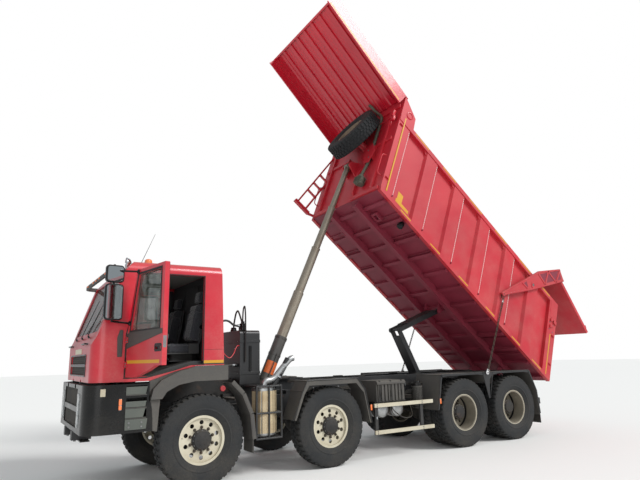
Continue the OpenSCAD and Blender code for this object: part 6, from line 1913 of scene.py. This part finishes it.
def pressSeams(data, base, seams, depth, wide):
    # Sinks sewn channels: each seam is (axis, place, from, to) in the seat's millimetres
    inverse = base.inverted()
    normals = [v.normal.copy() for v in data.vertices]
    for v, normal in zip(data.vertices, normals):
        p = inverse @ v.co
        for axis, place, low, high in seams:
            if low <= p[1 - axis] <= high:
                d = (p[axis] - place) / wide
                if abs(d) < 3:
                    v.co -= normal * (depth * 0.001 * math.exp(-d * d))
    data.update()


def buildSeats():
    cushionBase = truck @ move(-60, 560, 0)
    cushion = padMesh("cushion", [(still, (34, -226, 1812), (508, 226, 1902), 60),
        (still, (60, -236, 1830), (490, -170, 1914), 26), (still, (60, 170, 1830), (490, 236, 1914), 26)],
        cushionBase)
    pressSeams(cushion, cushionBase, [(1, -158, 30, 470), (1, 158, 30, 470), (0, 190, -150, 150),
        (0, 340, -150, 150)], 7, 6)
    lean = turn(-10.8, "Y")
    backBase = truck @ move(-60, 560, 0) @ move(28, 0, 1936) @ lean
    back = padMesh("back", [(still, (2, -206, 14), (100, 206, 610), 40),
        (still, (16, -222, 40), (118, -160, 470), 24),
        (still, (16, 160, 40), (118, 222, 470), 24)], backBase)
    pressSeams(back, backBase @ Matrix(((0, 0, 1, 0), (0, 1, 0, 0), (1, 0, 0, 0), (0, 0, 0, 1))),
        [(1, -148, 30, 460), (1, 148, 30, 460), (0, 190, -140, 140), (0, 340, -140, 140),
        (0, 480, -190, 190)], 7, 6)
    head = padMesh("head", [(still, (14, -118, 636), (96, 118, 796), 30)], backBase)
    for s, side in ((1, "Left"), (-1, "Right")):
        across = (truck @ Vector((0, -560, 0))) - (truck @ Vector((0, 560, 0)))
        toSide = still if s > 0 else Matrix.Translation(across)
        for label, data in (("seatCushion", cushion), ("seatBack", back), ("headRest", head)):
            copy = data.copy()
            copy.transform(toSide)
            copy.materials.clear()
            copy.materials.append(finishes["seatCloth"])
            copy.shade_smooth()
            replaced = ("seats",) if label == "seatCushion" else ()
            piece = placeMesh(label + side, copy, "cab", replaced)
        base = truck @ move(-60, 560 * s, 0)
        addPiece("seatFrame" + side, "liningPlastic", "cab", base, [
            (slab, (30, -226, 1786), (512, 226, 1806)),
            (prism, base @ move(28, 0, 1936) @ lean, [(-30, 0), (-6, 0), (-6, 600), (-22, 600), (-42, 300)],
            -200, 200),
            *((rod, base @ move(28, 0, 1936) @ lean, (46, y, 590), (52, y, 660), 6, 10) for y in (-60, 60)),
            *((slab, (20, y, 1790), (180, y + 12, 1936)) for y in (-236, 224)),
            (slab, (56, -186, 1680.6), (444, 186, 1694)),
            (rod, (440, -150, 1706), (470, -150, 1730), 8, 10),
            (rod, (440, 150, 1706), (470, 150, 1730), 8, 10)], 4)
        addPiece("seatGaiter" + side, "rubberSeal", "cab", base, [
            *(shape for k in range(6) for shape in (
            (ringPrism, softRect(250, 0, 300, 280, 40), softRect(250, 0, 372 - 8 * (k % 2),
            352 - 8 * (k % 2), 50), 1694 + 15.4 * k, 1704 + 15.4 * k, "xy"),
            (ringPrism, softRect(250, 0, 300, 280, 40), softRect(250, 0, 344, 324, 46), 1704 + 15.4 * k,
            1709.4 + 15.4 * k, "xy")))])
        addPiece("seatHinge" + side, "blackPlastic", "cab", base,
            [(rod, (-10, 238 * s, 2180), (-10, 232 * s, 2180), 30, 20)])


# Dashboard: binnacle with dials, switch rows, vents, radio, wheel boss and stalks, pedals
dashValues = {"dials": ((-110, 46), (0, 40), (110, 46))}


def buildDash():
    addPiece("dashHood", "liningPlastic", "cab", truck, [
        (prism, [(986, 1872), (958, 2040), (962, 2084), (1010, 2096), (1130, 2070), (1150, 2030),
        (1000, 2012)], 352, 768),
        (prism, [(978, 1860), (966, 1960), (984, 2014), (1020, 2020), (1000, 1860)], -330, 300),
        (prism, [(978, 1860), (972, 2004), (992, 2016), (1010, 1990), (1000, 1860)], -1040, -380)], 9)
    faces, rings, marks, lights = bmesh.new(), bmesh.new(), bmesh.new(), bmesh.new()
    slab(faces, truck @ move(966, 560, 1976) @ turn(-80, "Y"), (-66, -190, 0), (66, 190, 3))
    for y, r in dashValues["dials"]:
        spot = truck @ move(964, 560 + y, 1976) @ turn(-80, "Y")
        lathe(rings, spot, [(r, 0), (r + 5, 0), (r + 5, 7), (r, 9)], 30, "Z", closed=True)
        lathe(faces, spot, [(0, 0), (r, 0), (r, 4), (0, 4)], 30, "Z")
        slab(marks, spot @ turn(40 + y, "Z"), (-2, -2, 4), (r * 0.72, 2, 6))
        for k in range(9):
            a = math.radians(-120 + 30 * k)
            slab(lights, spot @ turn(math.degrees(a), "Z"), (r * 0.76, -1.4, 4), (r * 0.93, 1.4, 5))
    makePiece("dialFaces", faces, "blackPlastic", "cab")
    makePiece("dialRings", rings, "zincSteel", "cab")
    makePiece("dialNeedles", marks, "orangeField", "cab")
    makePiece("dialMarks", lights, "paleLining", "cab")
    switches = bmesh.new()
    for row in range(2):
        for k in range(9):
            face = truck @ move(964 + 6 * row, -288 + 34 * k, 1952 - 46 * row) @ turn(-84, "Y")
            slab(switches, face, (-16, -12, 0), (16, 12, 6))
            slab(switches, face @ turn(5, "Y"), (-13, -10, 5), (13, 10, 10))
    slab(switches, truck @ move(966, 130, 1930) @ turn(-84, "Y"), (-26, -92, 0), (26, 92, 8))
    for y in (60, 200):
        lathe(switches, truck @ move(958, y, 1932) @ turn(-84, "Y"), [(0, 0), (13, 0), (12, 14), (0, 15)],
            16, "Z")
    for y in (-860, -560):
        face = truck @ move(970, y, 1950) @ turn(-86, "Y")
        for k in range(5):
            slab(switches, face, (-34 + 15 * k, -70, 0), (-29 + 15 * k, 70, 9))
        ringPrism(switches, face, softRect(0, 0, 84, 148, 12), softRect(0, 0, 100, 164, 18), 0, 11, "xy")
    makePiece("dashSwitches", switches, "blackPlastic", "cab", 1.5)
    wheel = bmesh.new()
    column = truck @ move(1030, 560, 1790) @ turn(-60, "Y")
    slab(wheel, column, (-52, -58, 110), (46, 58, 292))
    rod(wheel, column, (0, -58, 240), (-20, -190, 262), 8, 10)
    rod(wheel, column, (0, 58, 240), (-20, 190, 262), 8, 10)
    centre = truck @ move(735, 560, 1962) @ turn(-60, "Y")
    lathe(wheel, centre, [(0, -34), (52, -32), (66, -12), (66, 14), (54, 26), (0, 30)], 28, "Z")
    for a in (0, 120, 240):
        prism(wheel, centre @ turn(a, "Z"), [(50, -30), (200, -17), (200, 17), (50, 30)], -10, 11, "xy")
    makePiece("wheelBoss", wheel, "grainPlastic", "cab", 5)
    pedals = bmesh.new()
    for y, wide, high in ((440, 34, 1560), (560, 38, 1566), (690, 30, 1556)):
        face = truck @ move(946, y, high + 60) @ turn(-58, "Y")
        slab(pedals, face, (-60, -wide, 0), (60, wide, 9))
        for k in range(6):
            slab(pedals, face, (-52 + 19 * k, -wide + 4, 9), (-44 + 19 * k, wide - 4, 13))
        rod(pedals, truck, (950, y, high + 62), (1060, y, high + 30), 8, 10)
        rod(pedals, truck, (1060, y, high + 30), (1100, y, high + 90), 8, 10)
    makePiece("pedals", pedals, "castIron", "cab")


buildLinings()
buildSeats()
buildDash()
print("cab inside fitted")
